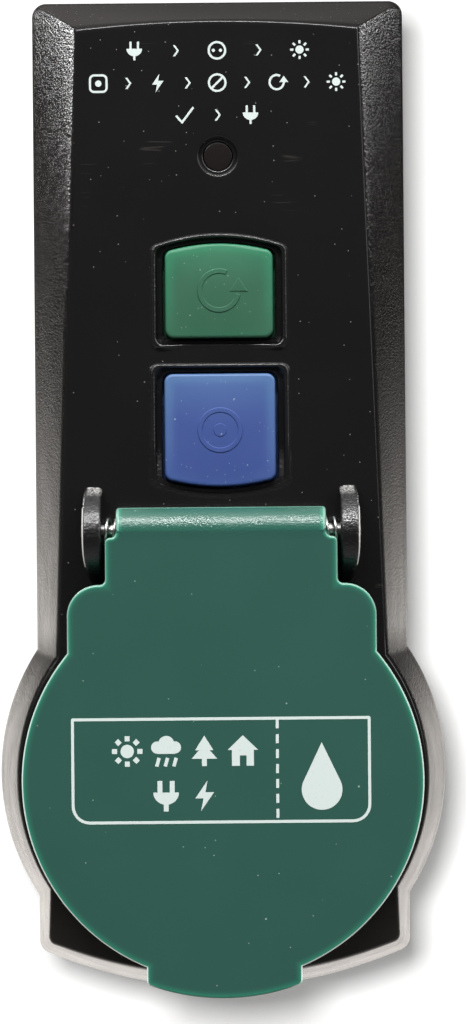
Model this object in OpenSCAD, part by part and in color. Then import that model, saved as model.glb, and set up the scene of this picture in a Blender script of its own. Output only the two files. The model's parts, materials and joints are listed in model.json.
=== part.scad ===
// Plug-in residual-current adapter: a wall plug, a tripping unit with reset and test
// buttons, and a socket under a sprung flip cover, all in one tall casing.
// The origin is on the plug axis at the wall. The wall is the plane y = 0, +Z is up and
// the face looks along -Y. Every piece is drawn lying on its back, with x to the right,
// y up the face and z out of the wall, and stand() then puts it upright.

/* [Casing] */
// Width across the parting plane
casing_w = 53; // [52:0.5:58]
// Top edge above the plug axis
casing_top = 110; // [109:0.5:120]
// Lowest point below the plug axis
casing_low = 31.1; // [31:0.1:34]
// Rise of the bowed bottom edge from its middle to its corners
low_bow = 5.8; // [4:0.2:6.4]
// Corner radius of the casing's outline
corner_r = 2; // [1:0.2:3]
// Depth of the rear half
rear_d = 20; // [20:0.5:24]
// Depth of the front half
front_d = 20; // [19:0.5:24]
// Wall thickness of both halves
wall = 2.4; // [2.2:0.1:2.8]
// Draft of the rear half from the parting plane to the wall
rear_draft = 2; // [1:0.2:3]
// Radius of the round bulge around the socket
bulge_r = 31.8; // [31:0.2:34]
// Break of the outer edges
edge = 0.4; // [0.2:0.1:0.6]

/* [Face] */
// Width of the face at its top edge
face_top_w = 39.4; // [38:0.2:44]
// Width of the face at its bottom edge
face_low_w = 48.7; // [48:0.1:50]
// Drop of the face's top edge below the casing's top
face_drop = 4.5; // [3:0.1:5]
// Bow of the face's top edge
face_bow = 1.1; // [0.4:0.1:1.6]
// Rise of the face's lowest point above the casing's
face_rise = 3.6; // [3:0.1:4]
// Radius of the bulge at the face
bulge_face_r = 28.5; // [28.4:0.1:30]
// Share of the flank's lean that is reached at its shoulder
flank_full = 0.42; // [0.4:0.01:0.6]
// Share of the front half's depth at which the flank has its shoulder
flank_at = 0.6; // [0.5:0.02:0.7]

/* [Plug] */
// Radius of the plug's nose
nose_r = 17.75; // [17.5:0.05:18]
// Length of the plug's nose
nose_l = 17; // [16:0.1:17.5]
// Radius of a contact pin, on the plug and in the socket
pin_r = 2.4; // [2.35:0.05:2.45]
// Free length of a contact pin
pin_l = 19; // [18.5:0.1:19.3]
// Distance between the two contact pins
pin_pitch = 19; // [18.6:0.1:19.4]
// Width of an earth strip
earth_w = 5.6; // [4:0.2:6]
// Thickness of the earth strips
earth_t = 0.8; // [0.6:0.1:1]
// Width of the guide groove on each side of the nose
guide_w = 4.8; // [4:0.1:5]
// Depth of the guide groove
guide_deep = 2; // [1.5:0.1:2.4]
// Thickness of the plug body's flange
flange_t = 2.5; // [2:0.1:3]
// Thickness of the flat seal behind the flange
seal_t = 0.8; // [0.6:0.1:1]

/* [Socket] */
// Radius of the recess that takes a plug
recess_r = 19.75; // [19.5:0.05:20]
// Depth of the recess
recess_deep = 17.5; // [17:0.1:17.5]
// Wall of the socket cup
cup_wall = 1.9; // [1.6:0.1:2]
// Thickness of the cup's floor
floor_t = 2.5; // [2:0.1:2.6]
// Radius of a pin hole in the floor
pin_hole_r = 2.75; // [2.6:0.05:2.9]
// Height of the collar above the face
collar_h = 5.3; // [5:0.1:5.6]
// Wall of the collar
collar_wall = 1.65; // [1.4:0.05:1.7]
// Turn of the shutter from closed to open
shutter_turn = 40; // [38:1:50]

/* [Cover] */
// Radius of the cover's disc
cover_r = 27.7; // [27.6:0.1:28.2]
// Thickness of the cover plate
cover_t = 2.2; // [2:0.1:2.6]
// Width across the cover's shoulders
shoulder_w = 42.6; // [41:0.2:44]
// Height of the shoulders above the plug axis
shoulder_up = 27.1; // [26.9:0.1:27.3]
// Corner radius of the shoulders
shoulder_r = 4.3; // [3:0.1:5]
// Width of the neck between the hinge lugs
neck_w = 32; // [31:0.1:32.2]
// Width of the finger tab
tab_w = 21.4; // [16:0.2:24]
// Reach of the finger tab past the disc
tab_out = 2.2; // [1:0.1:3]
// Height of the skirt behind the plate
skirt_h = 4.1; // [3:0.1:4.6]
// Wall of the skirt
skirt_wall = 3; // [2:0.1:3.2]

/* [Hinge] */
// Height of the hinge axis above the plug axis
hinge_up = 34.5; // [34.3:0.1:35]
// Distance of the hinge axis in front of the face
hinge_out = 5.3; // [5.2:0.1:5.6]
// Radius of the hinge pin
hinge_pin_r = 0.9; // [0.8:0.05:1]
// Length of the cover's knuckle
knuckle_w = 29; // [28:0.2:29.4]
// Radius of the cover's knuckle
knuckle_r = 3.2; // [3:0.1:3.4]
// Thickness of a hinge lug
lug_w = 2.7; // [2.2:0.1:3]
// Clear space between the lugs
lug_gap = 33; // [32.8:0.1:33.4]
// Radius of a lug's nose
lug_r = 2.7; // [2.2:0.1:2.8]
// Length of a lug along the face
lug_l = 13.3; // [12:0.1:13.4]
// Wire diameter of the hinge springs
hinge_wire = 0.5; // [0.4:0.02:0.5]
// Turns of each hinge spring
hinge_turns = 10; // [6:1:10]

/* [Buttons] */
// Width of the reset button
reset_w = 15; // [12:0.1:15.4]
// Height of the reset button
reset_h = 13.1; // [12:0.1:13.6]
// Space between the two buttons
button_space = 5; // [4.6:0.1:6.2]
// Width of the test button
test_w = 15.4; // [12:0.1:15.6]
// Height of the test button
test_h = 15.7; // [14:0.1:16]
// Space between the hinge axis and the test button
test_rise = 6.05; // [5.85:0.05:6.65]
// Bow of each button's outer end
button_bow = 1.1; // [0.6:0.1:1.4]
// Corner radius of the buttons
button_r = 1.7; // [1.2:0.1:2.4]
// Height of the buttons above the face
button_out = 1.3; // [0.9:0.1:1.6]
// Travel of the buttons
button_travel = 2; // [1.2:0.1:2]
// Width of the raised frame around a button
frame_w = 0.8; // [0.5:0.05:1]
// Height of the raised frame
frame_h = 0.5; // [0.3:0.05:0.7]
// Space between a button and its frame
frame_gap = 1.2; // [0.9:0.05:1.3]
// Sink of the floor inside the frame
frame_sink = 0.8; // [0.4:0.1:1]
// Space between the reset button and the indicator's middle
lens_rise = 12.25; // [10.6:0.05:12.65]
// Radius of the indicator lens
lens_r = 1.95; // [1.8:0.05:2.2]
// Width of the ring around the lens
lens_ring = 0.7; // [0.4:0.05:0.9]

/* [Inside] */
// Thickness of the circuit board
board_t = 1.6; // [1.2:0.1:1.6]
// Width of the circuit board
board_w = 36; // [34:0.5:37]
// Lower edge of the circuit board above the plug axis
board_low = 43; // [42.6:0.1:43.4]
// Upper edge of the circuit board above the plug axis
board_top = 99.5; // [99:0.1:99.8]
// Thickness of the current-carrying strips
strip_t = 1; // [0.8:0.05:1]
// Travel of the contact carriage
contact_travel = 1.8; // [1.4:0.1:2]
// Radius of the casing screws
screw_r = 1.45; // [1.3:0.05:1.5]

/* [Clearances] */
// Clearance of fixed pieces that slot together
slot_fit = 0.1; // [0.05:0.01:0.15]
// Clearance of a turning pin
turn_fit = 0.08; // [0.03:0.01:0.1]
// Clearance around a sliding piece
slide_fit = 0.2; // [0.15:0.01:0.25]
// Clearance around a button
button_fit = 0.35; // [0.3:0.01:0.4]
// Clearance between a moving piece and what it passes
move_fit = 0.4; // [0.3:0.01:0.45]

/* [Hidden] */
$fn = 64;

// Overlap of shapes that are joined, and reach of cuts past a surface
join = 0.2;
cut = 1;

// Stations out of the wall
face_d = rear_d + front_d;
inner_face_d = face_d - wall;
collar_d = face_d + collar_h;
floor_d = collar_d - recess_deep;
floor_back_d = floor_d - floor_t;
shutter_t = 2;
shutter_d = floor_back_d - move_fit - shutter_t;
retainer_t = 1.8;
retainer_d = shutter_d - move_fit - retainer_t;
board_sink = 1;
board_d = rear_d - board_sink;
board_front_d = board_d + board_t;
seal_d = wall + seal_t;
flange_d = seal_d + flange_t;
hinge_d = face_d + hinge_out;

// Heights on the face, from the hinge up
test_up = hinge_up + test_rise + test_h / 2;
reset_up = test_up + test_h / 2 + button_space + reset_h / 2;
lens_up = reset_up + reset_h / 2 + lens_rise;

// Casing
shoulder_d = rear_d + front_d * flank_at;
rear_edge_d = 1;
seal_ring_w = 1;
seal_ring_t = 1;
seal_ring_in = (wall - seal_ring_w) / 2;

// Screws that hold the two halves together: sides of the casing and heights above the axis
post_r = 2.9;
post_wall = 1.3;
screw_head_r = 2.5;
screw_head_t = 2;
screw_seat_d = 7;
screw_reach = 11;
screw_end_d = rear_d + screw_reach;
screw_tip_room = 1;
post_end_d = screw_end_d + wall;
post_side = 2.8;
post_top_in = 7;
post_mid_rise = 2.5;
post_mid_up = hinge_up + post_mid_rise;
post_low_in = 4.1;
post_top = [casing_w / 2 - post_side - post_top_in + wall, casing_top - post_top_in];
post_mid = [casing_w / 2 - post_side - post_r, post_mid_up];
post_low_x = casing_w / 2 - post_side - post_low_in;
post_low = [post_low_x, low_edge(post_low_x, 0) + wall + post_low_in];
posts = [for (p = [post_top, post_mid, post_low], s = [-1, 1]) [s * p[0], p[1]]];

// Plug and earth
pin_x = pin_pitch / 2;
pin_dome = 1.4;
root_step = 0.3;
pin_root_r = pin_r - root_step;
pin_head_r = 3.4;
pin_head_t = 1.3;
root_r = nose_r + root_step;
flange_w = 2.5;
plug_flange_r = root_r + flange_w;
earth_slot_w = earth_w + 2 * slot_fit;
earth_in = 0.45;
plug_earth_out = nose_r - earth_in;
earth_tip_in = 1;
plug_earth_tip = nose_l - earth_tip_in;
plug_strap_d = flange_d;
earth_rivet_r = 1.6;
earth_shank_r = 1;

// Socket
cup_r = recess_r + cup_wall;
cup_hole_r = cup_r + slot_fit;
collar_r = cup_hole_r + collar_wall;
cup_flange_w = 2.2;
cup_flange_r = cup_r + cup_flange_w;
cup_flange_t = 1.6;
rib_in = 1.6;
rib_play = 0.6;
rib_w = guide_w - rib_play;
rib_drop = 1;
chamber_r = 15.5;
chamber_wall = 2;
retainer_r = chamber_r + chamber_wall;
shutter_in = 2;
shutter_r = chamber_r - shutter_in;
pass_room = 0.15;
pass_hole_r = pin_hole_r + pass_room;
pivot_r = 1.5;
hub_r = 2.6;
hub_l = 4.4;
retainer_hole_r = 5.2;
sleeve_wall = 0.9;
sleeve_r = pin_r + slot_fit + sleeve_wall;
sleeve_d = floor_d - pin_l + move_fit;
sleeve_slit = 0.8;
clip_in = 0.35;
clip_out = recess_r - clip_in;
clip_bend = 1.7;
clip_rise = [3, 8.5, 12];
clip_low_d = floor_d + clip_rise[0];
clip_touch_d = floor_d + clip_rise[1];
clip_tip_d = floor_d + clip_rise[2];
clip_gap = 0.6;
clip_strap_top = floor_d - pin_l - clip_gap;
clip_strap_d = clip_strap_top - earth_t;
clip_slot_in = 1;

// Cover and hinge
cover_d = hinge_d + knuckle_r - cover_t;
knuckle_hole_r = hinge_pin_r + turn_fit;
gasket_gap = 0.3;
gasket_t = 1.3;
gasket_d = collar_d + gasket_gap;
gasket_w = 2.6;
gasket_in = 0.4;
gasket_r = collar_r - gasket_in;
coil_gap = 0.45;
coil_r = hinge_pin_r + hinge_wire / 2 + coil_gap;
coil_out = coil_r + hinge_wire / 2;
pocket_r = coil_out + move_fit;
pocket_end = 4;
coil_x0 = pocket_end + move_fit + hinge_wire / 2;
coil_x1 = lug_gap / 2 - hinge_wire / 2 - slot_fit;
neck_up = hinge_up - coil_out - move_fit;
lug_foot_h = 1.2;
lug_foot_l = 2.4;
lug_shift = 0.65;

// Buttons
button_floor_t = 2;
button_flange = 1.5;
button_back_d = inner_face_d - button_floor_t - slot_fit;
button_crown_in = 1.6;
crown_side = 0.2;
crown_mid = 0.6;
crown_mid_in = 0.3;
plunger_r = 2.4;
spigot_r = 1.4;
spigot_l = 1.8;
switch_w = 6;
switch_h = 3.5;
knob_r = 1.6;
knob_h = 0.9;
switch_top_d = board_front_d + switch_h + knob_h;
plunger_d = switch_top_d + move_fit + button_travel;
guide_t = 1.4;
guide_rise = 1.2;
guide_d = plunger_d + guide_rise;
guide_half_w = 10.8;
guide_ear = [12.4, (reset_up + test_up) / 2];
guide_post_r = 2;
guide_screw_r = 0.9;
guide_screw_l = 5;
guide_head_t = 1.4;
button_wire = 0.5;
button_coil_r = plunger_r + slide_fit + button_wire + move_fit;
button_turns = 3;
lens_flange = 1;
lens_flange_t = 1.5;
lens_sink = 0.6;
lamp_r = 1.5;
lamp_gap = 1.6;
lamp_top_d = inner_face_d - lens_flange_t - lamp_gap;
lamp_l = 4.6;
lamp_leg_r = 0.25;
lamp_leg_x = 1.2;

// Relay, contacts and the current path
relay_d = (wall + board_d) / 2;
bobbin_r = 6.4;
bobbin_tube_r = 3.9;
plunger_rod_r = 2.9;
winding_in = 0.4;
yoke_t = 1.2;
yoke_over = 0.3;
relay_drop = 23.5;
relay_up = board_top - relay_drop;
relay_l = 20;
carriage_t = 3;
carriage_w = 28;
carriage_deep = 6;
carriage_foot = 2;
bridge_t = 1;
bridge_deep = 3;
rivet_r = 1.1;
rivet_h = 0.8;
contact_spare = 0.3;
contact_gap = contact_travel + contact_spare;
shelf_room = 3.3;
shelf_up = relay_up - shelf_room - strip_t;
rivet_up = shelf_up - rivet_h;
carriage_up = rivet_up - contact_gap - rivet_h - bridge_t - carriage_t;
shelf_back = 2.5;
shelf_back_d = relay_d - shelf_back;
line_x = 6.75;
load_x = 13.4;
line_w = 2.5;
line_front = 4;
line_d = relay_d + line_front;
lead_x = 15;
lead_w = 4;
lead_back = 0.7;
lead_d = relay_d - lead_back;
lead_tab = 2;
bar_d = flange_d + pin_head_t;
bar_w = 4;
bar_turn_up = recess_r + 0.7;
bar_turn_h = 2.6;
core_up = 27;
core_h = 8;
core_r_in = 5.2;
core_r_out = 7.6;
winding_t = 0.6;
core_front = 0.4;
core_d = relay_d + core_front;
saddle_half = 6;
saddle_in = 1.5;
saddle_drop = 4;
pass_x = 1.2;
pass_w = 2.5;
rise_in = 1.5;
rise_up = board_low + rise_in;
rise_h = 2;
tab_up = 56;
relay_wire = 0.5;
relay_coil_gap = 0.35;
relay_coil_r = plunger_rod_r + relay_wire + relay_coil_gap;
relay_turns = 5;

// Board and its pieces
board_post_in = [3.5, 4];
board_post_drop = 1.5;
board_post_x = board_w / 2 - board_post_in[0];
board_post_r = 2.5;
board_post_ups = [board_low + board_post_in[1], board_top - board_post_in[1] - board_post_drop];
board_posts = [for (s = [-1, 1], u = board_post_ups) [s * board_post_x, u]];
board_screw_r = 1.1;
board_head_r = 2.2;
board_head_t = 1.7;
board_screw_l = 8;

// Black casing plastic, and the other finishes
black = "#1f1d1c";
dark = "#2c2a29";
teal = "#335951";
reset_green = "#3f8a66";
test_blue = "#4a66ad";
steel = "#c9cbcd";
brass = "#c8a24a";
copper = "#b8703f";
cream = "#d9d2c2";
rubber = "#26282a";

// Puts a piece that was drawn on its back upright: y becomes up, z points out of the wall
module stand() {
    rotate([90, 0, 0])
        children();
}

// Carries an outline of heights and depths along x
module along_x(x0, w) {
    translate([x0, 0, 0])
        rotate([90, 0, 90])
            linear_extrude(w)
                children();
}

// A cylinder along x, from x0 for a length w, at a height and depth
module rod_x(x0, w, r, up, d) {
    translate([x0, up, d])
        rotate([0, 90, 0])
            cylinder(h = w, r = r);
}

// A cylinder up the face, from a height for a length h
module rod_up(x, up, d, h, r) {
    translate([x, up, d])
        rotate([-90, 0, 0])
            cylinder(h = h, r = r);
}

// A cylinder out of the wall
module rod_out(x, up, d, h, r) {
    translate([x, up, d])
        cylinder(h = h, r = r);
}

// A block given by its ranges of x, height and depth
module block(x, up, d) {
    translate([x[0], up[0], d[0]])
        cube([x[1] - x[0], up[1] - up[0], d[1] - d[0]]);
}

// The same shape on both sides of the middle plane
module both_sides() {
    children();
    mirror([1, 0, 0])
        children();
}

function mix(a, b, t) = a + (b - a) * t;

// Height of the bowed bottom edge at x, where t is 0 at the parting plane and 1 at the face
function low_edge(x, t) = -casing_low + face_rise * t + low_bow * pow(2 * x / casing_w, 2);

// Height of the top edge at x, which bows towards the face
function top_edge(x, half, t) = casing_top - face_drop * t - face_bow * t * pow(x / half, 2);

// Outline of the casing's block at a share t of the flank's lean
bow_steps = 6;
module block_outline(t, inset) {
    top_half = mix(casing_w, face_top_w, t) / 2;
    low_half = mix(casing_w, face_low_w, t) / 2;
    low = [for (i = [-bow_steps:bow_steps]) low_half * i / bow_steps];
    top = [for (i = [bow_steps:-1:-bow_steps]) top_half * i / bow_steps];
    offset(delta = -inset)
        offset(r = corner_r, $fn = 24)
            offset(delta = -corner_r)
                polygon(concat(
                    [for (x = low) [x, low_edge(x, t)]],
                    [for (x = top) [x, top_edge(x, top_half, t)]]));
}

// Block of the casing between levels of [depth, share of lean, inset]
slice = 0.01;
module block_between(levels) {
    hull()
        for (v = levels)
            translate([0, 0, min(v[0], levels[len(levels) - 1][0] - slice)])
                linear_extrude(slice)
                    block_outline(v[1], v[2]);
}

// Round bulge between levels of [depth, radius]
module bulge_between(levels) {
    rotate_extrude($fn = 128)
        polygon(concat(
            [[0, levels[0][0]]],
            [for (v = levels) [v[1], v[0]]],
            [[0, levels[len(levels) - 1][0]]]));
}

function bulge_at(t) = mix(bulge_r, bulge_face_r, t);

module front_solid() {
    block_between([
        [rear_d, 0, edge], [rear_d + edge, 0, 0], [shoulder_d, flank_full, 0],
        [face_d - edge, 1, 0], [face_d, 1, edge]]);
    bulge_between([
        [rear_d, bulge_r - edge], [rear_d + edge, bulge_r], [shoulder_d, bulge_at(flank_full)],
        [face_d - edge, bulge_face_r], [face_d, bulge_face_r - edge]]);
}

module front_hollow() {
    block_between([
        [rear_d - cut, 0, wall], [shoulder_d - wall / 2, flank_full, wall], [inner_face_d, 1, wall]]);
    bulge_between([
        [rear_d - cut, bulge_r - wall], [shoulder_d - wall / 2, bulge_at(flank_full) - wall],
        [inner_face_d, bulge_face_r - wall]]);
}

module rear_solid() {
    block_between([
        [0, 0, rear_draft + rear_edge_d], [rear_edge_d, 0, rear_draft],
        [rear_d - edge, 0, 0], [rear_d, 0, edge]]);
    bulge_between([
        [0, bulge_r - rear_draft - rear_edge_d], [rear_edge_d, bulge_r - rear_draft],
        [rear_d - edge, bulge_r], [rear_d, bulge_r - edge]]);
}

module rear_hollow() {
    block_between([[wall, 0, rear_draft + wall], [rear_d + cut, 0, wall]]);
    bulge_between([[wall, bulge_r - rear_draft - wall], [rear_d + cut, bulge_r - wall]]);
}

// Ring in the parting plane, half in each wall
module seal_ring(fit) {
    translate([0, 0, rear_d - seal_ring_t / 2 - fit])
        linear_extrude(seal_ring_t + 2 * fit)
            difference() {
                parting_outline(seal_ring_in - fit);
                parting_outline(seal_ring_in + seal_ring_w + fit);
            }
}

module parting_outline(inset) {
    block_outline(0, inset);
    circle(r = bulge_r - inset, $fn = 96);
}

// Outline of a button with one bowed end: end is 1 for the top and -1 for the bottom
module button_outline(w, h, end, grow) {
    bow = [for (i = [-bow_steps:bow_steps]) i / bow_steps];
    offset(r = button_r + grow, $fn = 24)
        offset(delta = -button_r)
            polygon(concat(
                [[w / 2, -end * h / 2], [-w / 2, -end * h / 2]],
                [for (t = bow) [t * w / 2, end * (h / 2 - button_bow * t * t)]]));
}

module reset_outline(grow) {
    translate([0, reset_up])
        button_outline(reset_w, reset_h, 1, grow);
}

module test_outline(grow) {
    translate([0, test_up])
        button_outline(test_w, test_h, -1, grow);
}

// Raised frame around a button's outline
module button_frame() {
    translate([0, 0, face_d - join])
        linear_extrude(frame_h + join)
            children();
}

module button_frames() {
    button_frame()
        difference() {
            reset_outline(frame_gap + frame_w);
            reset_outline(frame_gap);
        }
    button_frame()
        difference() {
            test_outline(frame_gap + frame_w);
            test_outline(frame_gap);
            translate([-test_w, test_up - 1.5 * test_h])
                square([2 * test_w, test_h + corner_r]);
        }
}

// Sunken floor and window of a button
module button_cut() {
    translate([0, 0, face_d - frame_sink])
        linear_extrude(frame_sink + cut)
            children(0);
    translate([0, 0, inner_face_d - cut])
        linear_extrude(wall + 2 * cut)
            children(1);
}

// Hinge lug in heights and depths: a round nose on a long foot
module lug_profile() {
    hull() {
        translate([hinge_up, hinge_d])
            circle(r = lug_r, $fn = 32);
        translate([hinge_up - lug_l / 2 - lug_shift, face_d - join])
            square([lug_l, join]);
    }
}

module hinge_lug() {
    along_x(lug_gap / 2, lug_w)
        lug_profile();
    block([lug_gap / 2, lug_gap / 2 + lug_w],
        [hinge_up + lug_l / 2 - lug_foot_l, hinge_up + lug_l / 2],
        [face_d - join, face_d + lug_foot_h]);
}

module front_casing() {
    color(black) stand()
        difference() {
            union() {
                difference() {
                    front_solid();
                    front_hollow();
                }
                intersection() {
                    front_solid();
                    front_posts();
                }
                rod_out(0, 0, inner_face_d, wall + collar_h, collar_r);
                button_frames();
                both_sides()
                    hinge_lug();
            }
            rod_out(0, 0, inner_face_d - cut, wall + collar_h + 2 * cut, cup_hole_r);
            button_cut() {
                reset_outline(frame_gap);
                reset_outline(button_fit);
            }
            button_cut() {
                test_outline(frame_gap);
                test_outline(button_fit);
            }
            rod_out(0, lens_up, inner_face_d - cut, wall + 2 * cut, lens_r + slot_fit);
            rod_out(0, lens_up, face_d - lens_sink, lens_sink + cut, lens_r + lens_ring);
            rod_x(-casing_w, 2 * casing_w, hinge_pin_r + slot_fit / 2, hinge_up, hinge_d);
            for (p = posts)
                rod_out(p[0], p[1], rear_d - cut, screw_reach + screw_tip_room + cut, screw_r + slot_fit);
            for (p = board_posts)
                rod_out(p[0], p[1], board_front_d - cut, board_screw_l + screw_tip_room + cut,
                    board_screw_r + slot_fit);
            both_sides()
                rod_out(guide_ear[0], guide_ear[1], guide_d + guide_t - cut,
                    guide_screw_l + screw_tip_room + cut, guide_screw_r + slot_fit);
            seal_ring(slot_fit / 2);
        }
}

// Bosses and posts that stand behind the face
module front_posts() {
    for (p = posts)
        rod_out(p[0], p[1], rear_d, post_end_d - rear_d, post_r);
    for (p = board_posts)
        rod_out(p[0], p[1], board_front_d, inner_face_d + join - board_front_d, board_post_r);
    both_sides()
        rod_out(guide_ear[0], guide_ear[1], guide_d + guide_t,
            inner_face_d + join - guide_d - guide_t, guide_post_r);
}

module rear_casing() {
    color(black) stand()
        difference() {
            union() {
                difference() {
                    rear_solid();
                    rear_hollow();
                }
                intersection() {
                    rear_solid();
                    rear_posts();
                }
                transformer_saddle();
            }
            rod_out(0, 0, -cut, wall + 2 * cut, root_r + slot_fit);
            for (p = posts) {
                rod_out(p[0], p[1], -cut, screw_seat_d + cut, screw_head_r + slide_fit);
                rod_out(p[0], p[1], -cut, rear_d + 2 * cut, screw_r + slide_fit);
            }
            seal_ring(slot_fit / 2);
        }
}

module rear_posts() {
    for (p = posts) {
        rod_out(p[0], p[1], 0, screw_seat_d + post_wall, screw_head_r + post_wall);
        rod_out(p[0], p[1], 0, rear_d, post_r);
    }
}

// Cradle that the current transformer lies in
module transformer_saddle() {
    difference() {
        block([-saddle_half, saddle_half], [core_up + saddle_in, core_up + core_h - saddle_in],
            [wall - join, core_d - saddle_drop]);
        rod_up(0, core_up - cut, core_d, core_h + 2 * cut, core_r_out + winding_t + slot_fit);
    }
}

module casing_seal() {
    color(rubber) stand()
        seal_ring(0);
}

// Pan-head screw that points out of the wall, with a cross slot in its head
module pan_screw(p, head_d, head_r, head_t, shank_r, end_d) {
    slot_w = head_r / 4;
    difference() {
        union() {
            rod_out(p[0], p[1], head_d, head_t, head_r);
            rod_out(p[0], p[1], head_d + head_t - join, end_d - head_d - head_t + join, shank_r);
        }
        for (a = [0, 90])
            translate([p[0], p[1], head_d])
                rotate([0, 0, a])
                    cube([1.3 * head_r, slot_w, head_t], center = true);
    }
}

module casing_screws() {
    color(steel) stand()
        for (p = posts)
            pan_screw(p, screw_seat_d - screw_head_t, screw_head_r, screw_head_t, screw_r, screw_end_d);
}

module plug_body() {
    color(dark) stand()
        difference() {
            union() {
                rod_out(0, 0, -nose_l, nose_l + join, nose_r);
                rod_out(0, 0, 0, flange_d - join, root_r);
                rod_out(0, 0, seal_d, flange_t, plug_flange_r);
            }
            both_sides() {
                rod_out(pin_x, 0, -nose_l - cut, nose_l + flange_d + 2 * cut, pin_root_r + slot_fit / 2);
                block([nose_r - guide_deep, nose_r + cut], [-guide_w / 2, guide_w / 2],
                    [-nose_l - cut, join]);
            }
            for (s = [0, 1])
                mirror([0, s, 0])
                    block([-earth_slot_w / 2, earth_slot_w / 2],
                        [plug_earth_out - earth_t - slot_fit, nose_r + cut],
                        [-nose_l - cut, flange_d + cut]);
        }
}

module plug_seal() {
    color(rubber) stand()
        difference() {
            rod_out(0, 0, wall, seal_t, plug_flange_r);
            rod_out(0, 0, wall - cut, seal_t + 2 * cut, root_r + 2 * slot_fit);
        }
}

// Plug pin with a domed tip, a slim root in the nose and a head on the flange
module plug_pin(x) {
    translate([x, 0, 0])
        rotate_extrude()
            polygon(concat(
                [[0, bar_d], [pin_head_r, bar_d], [pin_head_r, flange_d], [pin_root_r, flange_d],
                    [pin_root_r, -nose_l], [pin_r, -nose_l]],
                [for (a = [0:15:75]) [pin_r * cos(a), -nose_l - pin_l + pin_dome * (1 - sin(a))]],
                [[0, -nose_l - pin_l]]));
}

module live_pin() {
    color(steel) stand()
        plug_pin(pin_x);
}

module neutral_pin() {
    color(steel) stand()
        plug_pin(-pin_x);
}

module plug_earth_strips() {
    half = earth_w / 2;
    color(brass) stand()
        difference() {
            union() {
                for (s = [0, 1])
                    mirror([0, s, 0])
                        block([-half, half], [plug_earth_out - earth_t, plug_earth_out],
                            [-plug_earth_tip, plug_strap_d + earth_t]);
                block([-half, half], [-plug_earth_out, plug_earth_out],
                    [plug_strap_d, plug_strap_d + earth_t]);
            }
            rod_out(0, 0, plug_strap_d - cut, earth_t + 2 * cut, earth_shank_r + slot_fit);
        }
}

module earth_rivet() {
    low = plug_strap_d + earth_t;
    color(brass) stand() {
        rod_out(0, 0, plug_strap_d, clip_strap_top - plug_strap_d, earth_shank_r);
        rod_out(0, 0, low, clip_strap_d - low, earth_rivet_r);
    }
}

// Strip from a plug pin through the transformer to the line-side contact
module busbar() {
    pass_out = pass_x + pass_w;
    line_in = line_x - line_w / 2;
    line_out = line_x + line_w / 2;
    pass_top = core_d + strip_t / 2;
    block([pin_x - bar_w / 2, pin_x + bar_w / 2], [-pin_head_r, bar_turn_up + bar_turn_h],
        [bar_d, bar_d + strip_t]);
    block([pass_x, pin_x], [bar_turn_up, bar_turn_up + bar_turn_h], [bar_d, bar_d + strip_t]);
    block([pass_x, pass_out], [bar_turn_up + bar_turn_h - strip_t, bar_turn_up + bar_turn_h],
        [bar_d, pass_top]);
    block([pass_x, pass_out], [bar_turn_up + bar_turn_h - strip_t, rise_up + rise_h],
        [pass_top - strip_t, pass_top]);
    block([pass_x, line_out], [rise_up, rise_up + rise_h], [pass_top - strip_t, pass_top]);
    block([line_in, line_out], [rise_up, rise_up + strip_t], [pass_top - strip_t, line_d + strip_t]);
    block([line_in, line_out], [rise_up, shelf_up + strip_t], [line_d, line_d + strip_t]);
    block([line_in, line_out], [shelf_up, shelf_up + strip_t], [shelf_back_d, line_d + strip_t]);
    block([line_x - strip_t / 2, line_x + strip_t / 2], [tab_up, tab_up + rise_h], [line_d, board_d]);
}

module live_busbar() {
    color(copper) stand()
        busbar();
}

module neutral_busbar() {
    color(copper) stand()
        mirror([1, 0, 0])
            busbar();
}

// Section of the transformer's ring, as radius and height
module ring_section(grow) {
    translate([core_r_in - grow, core_up - grow])
        square([core_r_out - core_r_in + 2 * grow, core_h + 2 * grow]);
}

module transformer_core() {
    color(dark) stand()
        translate([0, 0, core_d])
            rotate([-90, 0, 0])
                rotate_extrude()
                    ring_section(0);
}

// Winding that wraps most of the core
module transformer_winding() {
    color(copper) stand()
        translate([0, 0, core_d])
            rotate([-90, 0, 0])
                rotate_extrude(angle = 300)
                    difference() {
                        ring_section(winding_t);
                        ring_section(slot_fit / 2);
                    }
}

// Strip from the load-side contact down to a socket contact
module lead() {
    block([lead_x, lead_x + strip_t], [-lead_tab, shelf_up + strip_t], [lead_d, lead_d + lead_w]);
    block([load_x - rivet_r - slide_fit, lead_x + strip_t], [shelf_up, shelf_up + strip_t],
        [shelf_back_d, lead_d + lead_w]);
}

module live_lead() {
    color(copper) stand()
        lead();
}

module neutral_lead() {
    color(copper) stand()
        mirror([1, 0, 0])
            lead();
}

module fixed_contacts() {
    color(steel) stand()
        both_sides()
            for (x = [line_x, load_x])
                rod_up(x, rivet_up, relay_d, rivet_h, rivet_r);
}

module circuit_board() {
    color("#2f5d3a") stand()
        difference() {
            block([-board_w / 2, board_w / 2], [board_low, board_top], [board_d, board_front_d]);
            for (p = board_posts)
                rod_out(p[0], p[1], board_d - cut, board_t + 2 * cut, board_screw_r + slot_fit);
        }
}

module board_screws() {
    color(steel) stand()
        for (p = board_posts)
            pan_screw(p, board_d - board_head_t, board_head_r, board_head_t, board_screw_r,
                board_front_d + board_screw_l);
}

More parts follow.
